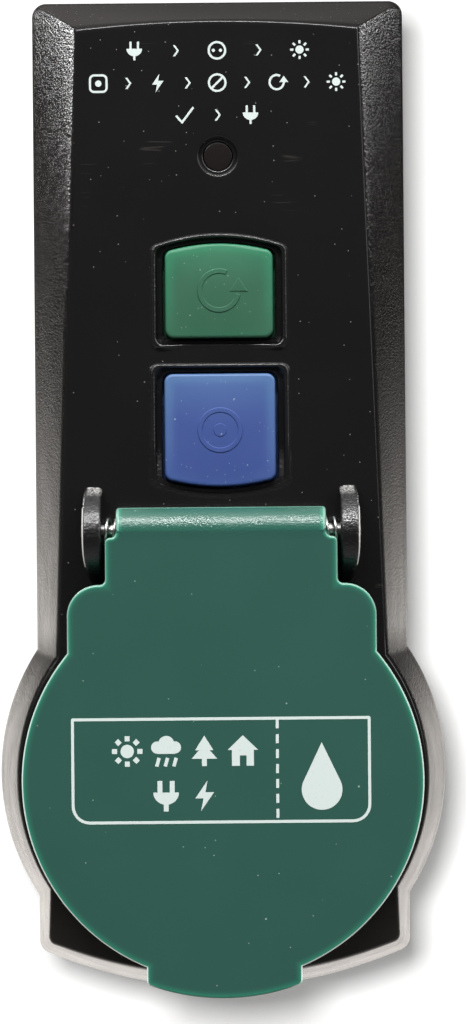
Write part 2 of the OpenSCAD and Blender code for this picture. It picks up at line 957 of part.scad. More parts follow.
// Chip with two rows of legs, between the two switches
chip = [9, 4, 1.8];
chip_leg = 0.5;
chip_pitch = 2;
module control_chip() {
    mid = (reset_up + test_up) / 2;
    color(dark) stand() {
        block([-chip[0] / 2, chip[0] / 2], [mid - chip[1] / 2, mid + chip[1] / 2],
            [board_front_d + chip_leg, board_front_d + chip_leg + chip[2]]);
        for (i = [-1.5:1.5], s = [0, 1])
            translate([0, mid, 0])
                mirror([0, s, 0])
                    block([i * chip_pitch - chip_leg / 2, i * chip_pitch + chip_leg / 2],
                        [chip[1] / 2 - chip_leg, chip[1] / 2 + 2 * chip_leg],
                        [board_front_d, board_front_d + 2 * chip_leg]);
    }
}

capacitor_r = 4;
capacitor_h = 12;
capacitor_at = [-9.5, 84];
capacitor_groove = 0.4;
module smoothing_capacitor() {
    color("#3a4a78") stand()
        translate([capacitor_at[0], capacitor_at[1], board_front_d])
            difference() {
                cylinder(h = capacitor_h, r = capacitor_r);
                translate([0, 0, capacitor_groove * 4])
                    rotate_extrude()
                        translate([capacitor_r, 0])
                            circle(r = capacitor_groove);
            }
}

absorber_r = 5;
absorber_t = 3.6;
absorber_at = [9.5, 84];
absorber_leg = 1.2;
module surge_absorber() {
    color("#2d6f8f") stand() {
        rod_x(absorber_at[0] - absorber_t / 2, absorber_t, absorber_r, absorber_at[1],
            board_front_d + absorber_leg + absorber_r);
        for (s = [-1, 1])
            rod_out(absorber_at[0], absorber_at[1] + s * absorber_r / 2, board_front_d,
                absorber_leg + absorber_r, lamp_leg_r * 1.4);
    }
}

// Small push switch on the board
module push_switch(up) {
    half = switch_w / 2;
    block([-half, half], [up - half, up + half], [board_front_d, board_front_d + switch_h]);
    rod_out(0, up, board_front_d + switch_h - join, knob_h + join, knob_r);
}

module reset_switch() {
    color(dark) stand()
        push_switch(reset_up);
}

module test_switch() {
    color(dark) stand()
        push_switch(test_up);
}

module indicator_lamp() {
    low = lamp_top_d - lamp_l;
    color("#b04a42") stand() {
        rod_out(0, lens_up, low, lamp_l - lamp_r, lamp_r);
        translate([0, lens_up, lamp_top_d - lamp_r])
            sphere(r = lamp_r);
        rod_out(0, lens_up, low, lamp_leg_r * 3, lamp_r + lamp_leg_r);
        for (s = [-1, 1])
            rod_out(s * lamp_leg_x, lens_up, board_front_d, low - board_front_d + join, lamp_leg_r);
    }
}

module indicator_lens() {
    color("#3a1210") stand() {
        rod_out(0, lens_up, inner_face_d - lens_flange_t - slot_fit / 2, lens_flange_t, lens_r + lens_flange);
        rod_out(0, lens_up, inner_face_d - join, face_d - lens_sink - inner_face_d + join, lens_r);
    }
}

// Steel frame of the relay: two plates joined by a back, with a fixed pole in the top plate
module relay_yoke() {
    half = bobbin_r + yoke_over;
    back_d = board_d - slot_fit / 2;
    top_up = relay_up + relay_l;
    pole_gap = contact_travel + move_fit;
    color("#8d9194") stand() {
        difference() {
            block([-half, half], [relay_up, relay_up + yoke_t], [relay_d - half, back_d]);
            rod_up(0, relay_up - cut, relay_d, yoke_t + 2 * cut, plunger_rod_r + slide_fit);
        }
        block([-half, half], [top_up - yoke_t, top_up], [relay_d - half, back_d]);
        block([-half, half], [relay_up, top_up], [back_d - yoke_t, back_d]);
        rod_up(0, relay_pole_up + pole_gap, relay_d, top_up - relay_pole_up - pole_gap, plunger_rod_r);
    }
}

relay_pole_up = relay_up + relay_l / 2;

module relay_bobbin() {
    low = relay_up + yoke_t + slot_fit;
    h = relay_l - 2 * yoke_t - 2 * slot_fit;
    color(cream) stand()
        difference() {
            union() {
                rod_up(0, low, relay_d, h, bobbin_tube_r);
                rod_up(0, low, relay_d, yoke_t, bobbin_r);
                rod_up(0, low + h - yoke_t, relay_d, yoke_t, bobbin_r);
            }
            rod_up(0, low - cut, relay_d, h + 2 * cut, plunger_rod_r + slide_fit);
        }
}

module relay_winding() {
    low = relay_up + 2 * yoke_t + 1.5 * slot_fit;
    h = relay_l - 4 * yoke_t - 3 * slot_fit;
    color(copper) stand()
        difference() {
            rod_up(0, low, relay_d, h, bobbin_r - winding_in);
            rod_up(0, low - cut, relay_d, h + 2 * cut, bobbin_tube_r + slot_fit / 2);
        }
}

module relay_plunger() {
    low = carriage_up + carriage_t;
    color(steel) stand()
        rod_up(0, low, relay_d, relay_pole_up - low, plunger_rod_r);
}

module contact_carriage() {
    color(cream) stand() {
        block([-carriage_w / 2, carriage_w / 2], [carriage_up, carriage_up + carriage_t],
            [relay_d - carriage_deep / 2, relay_d + carriage_deep / 2]);
        block([-bobbin_tube_r, bobbin_tube_r], [carriage_up - carriage_foot, carriage_up + join],
            [relay_d - carriage_deep / 2, relay_d + carriage_deep / 2]);
    }
}

// Two bridges, each with a contact at both ends
module moving_contacts() {
    low = carriage_up + carriage_t;
    color(brass) stand()
        both_sides() {
            block([line_x - rivet_r - slide_fit, load_x + rivet_r], [low, low + bridge_t],
                [relay_d - bridge_deep / 2, relay_d + bridge_deep / 2]);
            for (x = [line_x, load_x])
                rod_up(x, low + bridge_t - join, relay_d, rivet_h + join, rivet_r);
        }
}

// Soft button: a crowned cap on a straight body with a flange behind the face
module soft_button(up) {
    crown_d = face_d + button_out;
    side_d = face_d + button_out * crown_side;
    difference() {
        union() {
            translate([0, 0, button_back_d])
                linear_extrude(button_floor_t)
                    children(1);
            hull() {
                translate([0, 0, button_back_d + join])
                    linear_extrude(side_d - button_back_d - join)
                        children(0);
                translate([0, 0, mix(side_d, crown_d, crown_mid)])
                    linear_extrude(slice)
                        offset(delta = -button_crown_in * crown_mid_in)
                            children(0);
                translate([0, 0, crown_d - slice])
                    linear_extrude(slice)
                        offset(delta = -button_crown_in)
                            children(0);
            }
        }
        rod_out(0, up, button_back_d - cut, spigot_l + slot_fit + cut, spigot_r + slot_fit / 2);
    }
}

module reset_button() {
    color(reset_green) stand()
        soft_button(reset_up) {
            reset_outline(0);
            reset_outline(button_flange);
        }
}

module test_button() {
    color(test_blue) stand()
        soft_button(test_up) {
            test_outline(0);
            test_outline(button_flange);
        }
}

module button_plunger(up) {
    rod_out(0, up, plunger_d, button_back_d - plunger_d, plunger_r);
    rod_out(0, up, button_back_d - join, spigot_l + join, spigot_r);
}

module reset_plunger() {
    color(cream) stand()
        button_plunger(reset_up);
}

module test_plunger() {
    color(cream) stand()
        button_plunger(test_up);
}

// Plate that guides both plungers and carries their springs
module button_guide() {
    mid = guide_ear[1];
    color(dark) stand()
        difference() {
            union() {
                block([-guide_half_w, guide_half_w],
                    [test_up - test_h / 2, reset_up + reset_h / 2], [guide_d, guide_d + guide_t]);
                block([-guide_ear[0], guide_ear[0]], [mid - guide_post_r, mid + guide_post_r],
                    [guide_d, guide_d + guide_t]);
                both_sides()
                    rod_out(guide_ear[0], mid, guide_d, guide_t, guide_post_r);
            }
            for (up = [reset_up, test_up])
                rod_out(0, up, guide_d - cut, guide_t + 2 * cut, plunger_r + slide_fit);
            both_sides()
                rod_out(guide_ear[0], mid, guide_d - cut, guide_t + 2 * cut, guide_screw_r + slot_fit);
        }
}

module guide_screws() {
    color(steel) stand()
        both_sides()
            pan_screw(guide_ear, guide_d - guide_head_t, guide_post_r, guide_head_t, guide_screw_r,
                guide_d + guide_t + guide_screw_l);
}

// Cup of the socket: recess, floor with pin holes, chamber for the shutter and its pivot
module socket_cup() {
    color(black) stand()
        difference() {
            union() {
                difference() {
                    union() {
                        rod_out(0, 0, floor_back_d, collar_d - floor_back_d, cup_r);
                        rod_out(0, 0, inner_face_d - slot_fit / 2 - cup_flange_t, cup_flange_t, cup_flange_r);
                    }
                    rod_out(0, 0, floor_d, recess_deep + cut, recess_r);
                }
                both_sides()
                    block([recess_r - rib_in, recess_r + join], [-rib_w / 2, rib_w / 2],
                        [floor_d - join, collar_d - rib_drop]);
                difference() {
                    rod_out(0, 0, retainer_d + retainer_t, floor_back_d + join - retainer_d - retainer_t,
                        retainer_r);
                    rod_out(0, 0, retainer_d, floor_back_d - retainer_d, chamber_r);
                }
                rod_out(0, 0, shutter_d - hub_l, floor_back_d + join - shutter_d + hub_l, pivot_r);
            }
            both_sides()
                rod_out(pin_x, 0, floor_back_d - cut, floor_t + 2 * cut, pin_hole_r);
            for (s = [0, 1])
                mirror([0, s, 0])
                    block([-earth_slot_w / 2, earth_slot_w / 2],
                        [clip_out - clip_slot_in - earth_t, clip_out + slot_fit],
                        [floor_back_d - cut, floor_d + join]);
        }
}

// Shutter disc on a hub; its holes line up with the floor's after the shutter's turn
module shutter_disc() {
    color(cream) stand()
        difference() {
            union() {
                rod_out(0, 0, shutter_d, shutter_t, shutter_r);
                rod_out(0, 0, shutter_d - hub_l + join, hub_l, hub_r);
            }
            rod_out(0, 0, shutter_d - hub_l - cut, hub_l + shutter_t + 2 * cut, pivot_r + turn_fit);
            for (a = [shutter_turn, shutter_turn + 180])
                rotate([0, 0, a])
                    rod_out(pin_x, 0, shutter_d - cut, shutter_t + 2 * cut, pass_hole_r);
        }
}

module contact_retainer() {
    color(dark) stand()
        difference() {
            rod_out(0, 0, retainer_d, retainer_t, retainer_r);
            rod_out(0, 0, retainer_d - cut, retainer_t + 2 * cut, retainer_hole_r);
            both_sides()
                rod_out(pin_x, 0, retainer_d - cut, retainer_t + 2 * cut, pass_hole_r);
        }
}

// Split sleeve that grips a plug pin, with a tab for its lead
module pin_contact() {
    difference() {
        union() {
            rod_out(pin_x, 0, sleeve_d, retainer_d - sleeve_d, sleeve_r);
            block([pin_x, lead_x], [-lead_tab, lead_tab], [lead_d, lead_d + strip_t]);
        }
        rod_out(pin_x, 0, sleeve_d - cut, retainer_d - sleeve_d + 2 * cut, pin_r + slot_fit);
        block([pin_x - sleeve_r - cut, pin_x], [-sleeve_slit / 2, sleeve_slit / 2],
            [sleeve_d - cut, retainer_d + cut]);
    }
}

module live_contact() {
    color(brass) stand()
        pin_contact();
}

module neutral_contact() {
    color(brass) stand()
        mirror([1, 0, 0])
            pin_contact();
}

// Earth clip: a strap behind the contacts with a sprung leg at each end
module earth_clip() {
    half = earth_w / 2;
    inner = clip_out - earth_t;
    leg = [
        [clip_out, clip_strap_d], [clip_out, clip_low_d], [clip_out - clip_bend, clip_touch_d],
        [clip_out - earth_t / 2, clip_tip_d], [inner - earth_t / 2, clip_tip_d],
        [inner - clip_bend, clip_touch_d], [inner, clip_low_d], [inner, clip_strap_d]];
    color(brass) stand()
        difference() {
            union() {
                block([-half, half], [-clip_out, clip_out], [clip_strap_d, clip_strap_top]);
                for (s = [0, 1])
                    mirror([0, s, 0])
                        along_x(-half, earth_w)
                            polygon(leg);
            }
            rod_out(0, 0, clip_strap_d - cut, earth_t + 2 * cut, earth_shank_r + slot_fit);
        }
}

// Outline of the flip cover: disc, shoulders, neck and finger tab
module cover_outline() {
    half = shoulder_w / 2;
    circle(r = cover_r, $fn = 128);
    translate([-half, 0])
        square([shoulder_w, shoulder_up - shoulder_r]);
    translate([-half + shoulder_r, 0])
        square([shoulder_w - 2 * shoulder_r, shoulder_up]);
    for (s = [-1, 1])
        translate([s * (half - shoulder_r), shoulder_up - shoulder_r])
            circle(r = shoulder_r);
    translate([-neck_w / 2, 0])
        square([neck_w, neck_up]);
    translate([-knuckle_w / 2, 0])
        square([knuckle_w, hinge_up]);
    intersection() {
        circle(r = cover_r + tab_out, $fn = 128);
        translate([-tab_w / 2, -cover_r - tab_out])
            square([tab_w, cover_r]);
    }
}

module socket_cover() {
    color(teal) stand()
        difference() {
            union() {
                translate([0, 0, cover_d])
                    linear_extrude(cover_t)
                        cover_outline();
                rod_out(0, 0, cover_d - skirt_h, skirt_h + join, cover_r);
                rod_x(-knuckle_w / 2, knuckle_w, knuckle_r, hinge_up, hinge_d);
            }
            rod_out(0, 0, cover_d - skirt_h - cut, skirt_h + cut, cover_r - skirt_wall);
            difference() {
                rod_out(0, 0, cover_d - cut, gasket_d + gasket_t + cut - cover_d, gasket_r + slot_fit / 2);
                rod_out(0, 0, cover_d - 2 * cut, gasket_t + 4 * cut, gasket_r - gasket_w - slot_fit / 2);
            }
            rod_x(-knuckle_w, 2 * knuckle_w, knuckle_hole_r, hinge_up, hinge_d);
            both_sides()
                rod_x(pocket_end, knuckle_w, pocket_r, hinge_up, hinge_d);
        }
}

module cover_gasket() {
    color(rubber) stand()
        difference() {
            rod_out(0, 0, gasket_d, gasket_t, gasket_r);
            rod_out(0, 0, gasket_d - cut, gasket_t + 2 * cut, gasket_r - gasket_w);
        }
}

module hinge_pin() {
    reach = lug_gap / 2 + lug_w + slot_fit;
    color(steel) stand()
        rod_x(-reach, 2 * reach, hinge_pin_r, hinge_up, hinge_d);
}

// Springs: a wire follows a list of [point, outward direction] as a six-sided tube
curl_rings = 8;
wire_sides = 6;

// Helix about the z axis, starting along +x, with a straight end of one wire diameter at
// both ends and a leg of its own length at the last
function helix(r, pitch, turns, wire, leg) =
    let (n = turns * curl_rings,
        pts = [for (i = [0:n]) let (a = 360 * i / curl_rings)
            [[r * cos(a), r * sin(a), pitch * i / curl_rings], [cos(a), sin(a), 0]]],
        first = pts[0],
        last = pts[n],
        back = [last[1][1], -last[1][0], 0])
    concat([[first[0] - wire * [-first[1][1], first[1][0], 0], first[1]]], pts,
        [[last[0] - leg * back, last[1]]]);

function unit(v) = v / norm(v);

function along(path, i) = unit(path[min(i + 1, len(path) - 1)][0] - path[max(i - 1, 0)][0]);

function wire_ring(path, i, wire) =
    let (t = along(path, i), n = unit(path[i][1] - t * (t * path[i][1])), b = cross(t, n))
    [for (k = [0:wire_sides - 1]) let (a = 360 * k / wire_sides)
        path[i][0] + wire / 2 * (cos(a) * n + sin(a) * b)];

// Least space between turns of a wire, measured on points at least most of a turn apart
function self_gap(path, wire) =
    min([for (i = [0:len(path) - 1], j = [i + curl_rings - 2:1:len(path) - 1])
        norm(path[i][0] - path[j][0])]) - wire;

module wire_tube(path, wire) {
    rings = len(path);
    last = (rings - 1) * wire_sides;
    points = [for (i = [0:rings - 1]) each wire_ring(path, i, wire)];
    sides = [for (i = [0:rings - 2], k = [0:wire_sides - 1])
        let (a = i * wire_sides + k, b = i * wire_sides + (k + 1) % wire_sides)
        each [[a, a + wire_sides, b], [b, a + wire_sides, b + wire_sides]]];
    start = [for (k = [1:wire_sides - 2]) [0, k, k + 1]];
    end = [for (k = [1:wire_sides - 2]) [last, last + k + 1, last + k]];
    polyhedron(points, concat(sides, start, end), convexity = 10);
}

hinge_coil = helix(coil_r, (coil_x1 - coil_x0) / hinge_turns, hinge_turns, hinge_wire,
    hinge_out - slot_fit);
button_coil = helix(button_coil_r,
    (button_back_d - guide_d - guide_t - button_wire - 2 * slot_fit) / button_turns,
    button_turns, button_wire, button_wire);
relay_coil = helix(relay_coil_r,
    (relay_up - carriage_up - carriage_t - relay_wire - 2 * slot_fit) / relay_turns,
    relay_turns, relay_wire, relay_wire);
shutter_wire = 0.4;
shutter_turns = 3;
shutter_coil = helix(hub_r + shutter_wire + move_fit, (hub_l - shutter_wire - move_fit) / shutter_turns,
    shutter_turns, shutter_wire, shutter_wire);

echo(hinge_spring_gap = self_gap(hinge_coil, hinge_wire));
echo(button_spring_gap = self_gap(button_coil, button_wire));
echo(relay_spring_gap = self_gap(relay_coil, relay_wire));
echo(shutter_spring_gap = self_gap(shutter_coil, shutter_wire));

// The coil starts in the knuckle's pocket and its leg runs back to the face
module hinge_spring() {
    translate([coil_x0, hinge_up, hinge_d])
        rotate([0, 90, 0])
            rotate([0, 0, -90])
                wire_tube(hinge_coil, hinge_wire);
}

module hinge_spring_right() {
    color(steel) stand()
        hinge_spring();
}

module hinge_spring_left() {
    color(steel) stand()
        mirror([1, 0, 0])
            hinge_spring();
}

module button_spring(up) {
    translate([0, up, guide_d + guide_t + button_wire / 2 + slot_fit])
        wire_tube(button_coil, button_wire);
}

module reset_spring() {
    color(steel) stand()
        button_spring(reset_up);
}

module test_spring() {
    color(steel) stand()
        button_spring(test_up);
}

module relay_spring() {
    color(steel) stand()
        translate([0, carriage_up + carriage_t + relay_wire / 2 + slot_fit, relay_d])
            rotate([-90, 0, 0])
                wire_tube(relay_coil, relay_wire);
}

module shutter_spring() {
    color(steel) stand()
        translate([0, 0, shutter_d - hub_l + join + shutter_wire / 2])
            wire_tube(shutter_coil, shutter_wire);
}

front_casing();
rear_casing();
casing_seal();
casing_screws();
plug_body();
plug_seal();
live_pin();
neutral_pin();
plug_earth_strips();
earth_rivet();
live_busbar();
neutral_busbar();
transformer_core();
transformer_winding();
live_lead();
neutral_lead();
fixed_contacts();
circuit_board();
board_screws();
control_chip();
smoothing_capacitor();
surge_absorber();
reset_switch();
test_switch();
indicator_lamp();
indicator_lens();
relay_yoke();
relay_bobbin();
relay_winding();
relay_plunger();
relay_spring();
contact_carriage();
moving_contacts();
reset_button();
reset_plunger();
reset_spring();
test_button();
test_plunger();
test_spring();
button_guide();
guide_screws();
socket_cup();
shutter_disc();
shutter_spring();
contact_retainer();
live_contact();
neutral_contact();
earth_clip();
socket_cover();
cover_gasket();
hinge_pin();
hinge_spring_left();
hinge_spring_right();
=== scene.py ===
# %% [markdown]
# # A residual-current adapter, dressed for a product photograph
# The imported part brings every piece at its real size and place. This lesson gives those pieces
# the look of the real thing: rounded edges, moulded skins, soft buttons, print and finishes.
# Lengths are in millimetres in face terms, which are x to the right, up, and the depth d out of
# the wall. One function turns them into Blender's metres.

# %% Load the part
import json
import math

import bmesh
import bpy
import numpy as np
from mathutils import Matrix, Vector
from mathutils.geometry import delaunay_2d_cdt

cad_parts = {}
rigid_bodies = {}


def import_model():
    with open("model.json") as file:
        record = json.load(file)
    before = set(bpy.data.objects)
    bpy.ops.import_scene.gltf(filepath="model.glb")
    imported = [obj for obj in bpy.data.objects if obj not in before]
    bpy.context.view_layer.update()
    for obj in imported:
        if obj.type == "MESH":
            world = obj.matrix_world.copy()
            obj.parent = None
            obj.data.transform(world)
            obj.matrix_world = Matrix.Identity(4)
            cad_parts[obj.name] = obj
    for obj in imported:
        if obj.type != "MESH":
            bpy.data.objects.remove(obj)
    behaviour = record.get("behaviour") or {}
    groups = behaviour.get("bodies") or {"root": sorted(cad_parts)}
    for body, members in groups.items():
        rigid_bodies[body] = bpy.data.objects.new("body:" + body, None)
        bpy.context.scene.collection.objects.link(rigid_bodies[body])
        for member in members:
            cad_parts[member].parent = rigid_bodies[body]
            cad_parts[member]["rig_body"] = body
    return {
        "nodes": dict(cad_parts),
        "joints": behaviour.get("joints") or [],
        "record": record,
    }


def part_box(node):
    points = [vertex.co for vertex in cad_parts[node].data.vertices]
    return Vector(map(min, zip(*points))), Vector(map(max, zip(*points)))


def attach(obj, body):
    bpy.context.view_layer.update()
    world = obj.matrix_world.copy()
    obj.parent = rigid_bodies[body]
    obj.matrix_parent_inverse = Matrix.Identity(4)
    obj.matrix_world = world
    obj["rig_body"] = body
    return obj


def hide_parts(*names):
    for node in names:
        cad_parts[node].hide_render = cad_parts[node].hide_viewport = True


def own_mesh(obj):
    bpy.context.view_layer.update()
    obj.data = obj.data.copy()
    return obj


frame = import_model()
nodes = frame["nodes"]
record = frame["record"]
joints = {joint["name"]: joint for joint in frame["joints"]}
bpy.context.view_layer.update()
MM = 0.001

# %% [markdown]
# ## Camera
# The photograph looks almost straight at the face from well back, so lines hardly converge. The
# body leans a little to the left in the picture, and a small roll of the camera gives that lean.

# %% Camera
LENS = 171.7
SENSOR_LONG_SIDE = 36.0
CAMERA_AT = (1.75, -720.0, 37.0)
CAMERA_ROLL = math.radians(-0.5)

camera_data = bpy.data.cameras.new("camera")
camera_data.lens = LENS
camera_data.sensor_width = SENSOR_LONG_SIDE
camera = bpy.data.objects.new("camera", camera_data)
bpy.context.scene.collection.objects.link(camera)
look_along_y = Matrix.Rotation(math.radians(90), 4, "X")
camera.matrix_world = (
    Matrix.Translation(Vector(CAMERA_AT) * MM) @ look_along_y @ Matrix.Rotation(CAMERA_ROLL, 4, "Z")
)
bpy.context.scene.camera = camera
print("camera", tuple(round(v, 4) for v in camera.location))

# %% [markdown]
# ## Tools for surfaces
# A moulded shell is a stack of outlines, each at its own depth, with flat sheets that close it.
# `Skin` gathers such grids and sheets and welds them into one mesh, so that every piece ends up
# as a closed surface with clean rounded edges. A flat sheet would spoil the shading of a rounded
# edge next to it, so each stack ends with a narrow flat ring before the sheet begins.

# %% Tools for surfaces
WELD = 1e-6
CREASE = math.radians(40)
INSIDE_ONLY, SHEET_EPSILON = 1, 1e-6


def mix(a, b, t):
    """Straight blend from a to b."""
    return a + (b - a) * t


def smoothstep(t):
    """Soft step 3t^2 - 2t^3 of t, held between 0 and 1."""
    t = np.clip(t, 0, 1)
    return t * t * (3 - 2 * t)


def place(x, up, d):
    """Face terms in millimetres to points in metres: x, minus the depth, up."""
    x, up, d = np.broadcast_arrays(x, up, d)
    return np.stack([x, -d, up], -1) * MM


def quarter(r, n):
    """Quarter circle of radius r as (travel, rise) pairs: r(1 - cos a), r sin a."""
    a = np.linspace(0, math.pi / 2, n)
    return np.stack([r * (1 - np.cos(a)), r * np.sin(a)], -1)


def inside(points, loop):
    """Even-odd test of many points against one closed loop."""
    x, y = points[:, :1], points[:, 1:]
    x0, y0 = loop.T
    x1, y1 = np.roll(loop, -1, 0).T
    rise = np.where(y1 == y0, 1e-12, y1 - y0)
    crosses = ((y0 > y) != (y1 > y)) & (x < x0 + (y - y0) / rise * (x1 - x0))
    return crosses.sum(1) % 2 == 1


class Skin:
    """Grids and flat sheets of one piece, welded into a mesh at the end."""

    def __init__(self):
        self.points, self.faces, self.marks, self.rims, self.smooth = [], [], [], [], []
        self.count = 0

    def add(self, points, faces, mark, rim, smooth=True):
        points = points.reshape(-1, 3)
        faces = np.asarray(faces) + self.count
        self.points.append(points)
        self.rims.append(np.broadcast_to(rim, len(points)) if np.ndim(rim) == 0 else rim.reshape(-1))
        self.faces += faces.tolist()
        self.marks.append(np.broadcast_to(mark, len(faces)) if np.ndim(mark) == 0 else mark)
        self.smooth.append(np.full(len(faces), smooth))
        self.count += len(points)

    def grid(self, points, mark=0, rim=0.0):
        """Quads between the rows of a grid, whose rows are closed loops."""
        rows, columns = points.shape[:2]
        index = np.arange(rows * columns).reshape(rows, columns)
        right = np.roll(index, -1, 1)
        quads = np.stack([index[:-1], right[:-1], right[1:], index[1:]], -1).reshape(-1, 4)
        self.add(points, quads, np.broadcast_to(mark, (rows - 1, columns)).reshape(-1), rim)

    def sheet(self, loops, put, mark=0, rim=0.0):
        """Flat triangles inside the first loop and outside the others; put gives the points a place."""
        flat = np.concatenate(loops)
        starts = np.cumsum([0] + [len(loop) for loop in loops])
        runs = [start + np.arange(len(loop)) for start, loop in zip(starts, loops)]
        edges = np.concatenate([np.stack([run, np.roll(run, -1)], -1) for run in runs])
        made, _, triangles, *_ = delaunay_2d_cdt(
            [Vector(p) for p in flat.tolist()], edges.tolist(), [], INSIDE_ONLY, SHEET_EPSILON)
        made = np.array([tuple(p) for p in made])
        triangles = np.array(triangles)
        middle = made[triangles].mean(1)
        kept = sum(inside(middle, loop).astype(int) for loop in loops) % 2 == 1
        self.add(put(made), triangles[kept], mark, rim, False)

    def piece(self, name, finishes):
        """Weld, turn the faces outwards and keep true creases sharp."""
        mesh = bpy.data.meshes.new(name)
        mesh.from_pydata(np.concatenate(self.points).tolist(), [], self.faces)
        mesh.polygons.foreach_set("material_index", np.concatenate(self.marks).astype(np.int32))
        mesh.polygons.foreach_set("use_smooth", np.concatenate(self.smooth))
        rim = mesh.attributes.new("rim", "FLOAT", "POINT")
        rim.data.foreach_set("value", np.concatenate(self.rims).astype(np.float32))
        shell = bmesh.new()
        shell.from_mesh(mesh)
        bmesh.ops.remove_doubles(shell, verts=shell.verts, dist=WELD)
        bmesh.ops.dissolve_degenerate(shell, edges=shell.edges, dist=WELD / 10)
        bmesh.ops.recalc_face_normals(shell, faces=shell.faces)
        loose = sum(not edge.is_manifold for edge in shell.edges)
        shell.to_mesh(mesh)
        shell.free()
        mesh.set_sharp_from_angle(angle=CREASE)
        for finish in finishes:
            mesh.materials.append(finish)
        made = bpy.data.objects.new(name, mesh)
        bpy.context.scene.collection.objects.link(made)
        print(f"{name}: {len(mesh.polygons)} faces, {loose} open edges")
        return made


def stack(outline, levels):
    """Grid of an outline(grow) at levels of (depth, grow); a depth may be one number per point."""
    rows = []
    for depth, grow in levels:
        loop = outline(grow)
        rows.append(place(loop[:, 0], loop[:, 1], depth(loop) if callable(depth) else depth))
    return np.stack(rows)


def compass(a):
    """Unit vectors (cos a, sin a) at angles a."""
    return np.stack([np.cos(a), np.sin(a)], -1)


def angle_of(point):
    """Angle of a point about the origin."""
    return math.atan2(point[1], point[0])


def circle(cx, cy, n):
    """Outline of a circle about a centre, as a function of its radius."""
    a = np.linspace(0, 2 * math.pi, n, endpoint=False)
    return lambda r: np.array([cx, cy]) + r * compass(a)


def fillet(before, corner, after, r, n):
    """Arc of radius r that rounds the corner between two straight runs."""
    u = (before - corner) / np.linalg.norm(before - corner)
    v = (after - corner) / np.linalg.norm(after - corner)
    half = math.acos(np.clip(u @ v, -1, 1)) / 2
    middle = (u + v) / np.linalg.norm(u + v)
    centre = corner + middle * r / math.sin(half)
    start = corner + u * r / math.tan(half) - centre
    end = corner + v * r / math.tan(half) - centre
    first = angle_of(start)
    turn = (angle_of(end) - first + math.pi) % (2 * math.pi) - math.pi
    return centre + r * compass(first + turn * np.linspace(0, 1, n))


def between(a, b, n):
    """n points strictly between a and b."""
    t = np.linspace(0, 1, n + 2)[1:-1, None]
    return a + (b - a) * t


def both_halves(half):
    """Closes a right half that runs from the middle to the middle by its mirror image."""
    left = half[-2:0:-1] * [-1, 1]
    return np.concatenate([half, left])


# %% [markdown]
# ## Finishes as expressions
# A finish is a small formula over the surface: grains, dust and wear that change colour and
# roughness. `Socket` wraps a node's output so that the formula reads as ordinary arithmetic, and
# `Finish.node` makes every other node.

# %% Finishes as expressions
class Socket:
    """A value in a shader. Arithmetic on it adds Math nodes."""

    def __init__(self, finish, output):
        self.finish, self.output = finish, output

    def math(self, operation, other=None, third=None):
        values = [v for v in (self, other, third) if v is not None]
        return self.finish.node("ShaderNodeMath", {"operation": operation}, dict(enumerate(values)))

    def __add__(self, other):
        return self.math("ADD", other)

    def __mul__(self, other):
        return self.math("MULTIPLY", other)

    def __sub__(self, other):
        return self.math("SUBTRACT", other)

    def __rsub__(self, other):
        return (self * -1) + other

    def __pow__(self, other):
        return self.math("POWER", other)

    def __gt__(self, other):
        return self.math("GREATER_THAN", other)

    def __lt__(self, other):
        return self.math("LESS_THAN", other)

    __radd__ = __add__
    __rmul__ = __mul__

    def ramp(self, low, high):
        """0 below low, 1 above high, smooth between."""
        return self.finish.node(
            "ShaderNodeMapRange",
            {"interpolation_type": "SMOOTHSTEP"},
            {"Value": self, "From Min": low, "From Max": high},
        )


class Finish:
    """A node tree and the one method that adds nodes to it."""

    def __init__(self, owner):
        owner.use_nodes = True
        self.tree = owner.node_tree
        self.tree.nodes.clear()

    def node(self, kind, settings=None, inputs=None, output=0):
        made = self.tree.nodes.new(kind)
        for name, value in (settings or {}).items():
            setattr(made, name, value)
        for name, value in (inputs or {}).items():
            if isinstance(value, Socket):
                self.tree.links.new(value.output, made.inputs[name])
            else:
                made.inputs[name].default_value = value
        return Socket(self, made.outputs[output]) if made.outputs else None

    def place(self):
        """The point on the piece, in metres."""
        return self.node("ShaderNodeTexCoord", output="Object")

    def axis(self, name):
        """One coordinate of the point, in millimetres."""
        return self.node("ShaderNodeSeparateXYZ", None, {0: self.place()}, output=name) * 1000

    def rim(self):
        """Nearness to a piece's edge, as stored on its mesh."""
        return self.node("ShaderNodeAttribute", {"attribute_name": "rim"}, output="Fac")

    def noise(self, grain, detail=2.0, rough=0.5, place=None):
        """Smooth noise whose grains are about that many millimetres across."""
        inputs = {"Vector": place or self.place(), "Scale": 1 / (grain * MM)}
        return self.node("ShaderNodeTexNoise", None, inputs | {"Detail": detail, "Roughness": rough})

    def specks(self, cell, size, share):
        """Dust: a round speck in a share of the cells of a random pattern."""
        settings = {"feature": "F1"}
        inputs = {"Vector": self.place(), "Scale": 1 / (cell * MM), "Randomness": 1.0}
        near = self.node("ShaderNodeTexVoronoi", settings, inputs, output="Distance")
        tint = self.node("ShaderNodeTexVoronoi", settings, inputs, output="Color")
        pick = self.node("ShaderNodeSeparateColor", None, {0: tint}, output="Red")
        return (1 - near.ramp(size * 0.6, size)) * (pick < share)

    def blend(self, amount, a, b):
        """Colour a where amount is 0 and b where it is 1."""
        colours = {0: amount, 6: rgba(a), 7: rgba(b)}
        return self.node("ShaderNodeMix", {"data_type": "RGBA"}, colours, output=2)

    def bump(self, height, depth):
        """Normal of a surface whose height map is that many millimetres deep."""
        return self.node("ShaderNodeBump", None, {"Distance": depth * MM, "Height": height}, output="Normal")


def rgba(colour):
    """A colour with full cover, or a socket as it is."""
    return colour if isinstance(colour, Socket) else (*colour, 1.0)


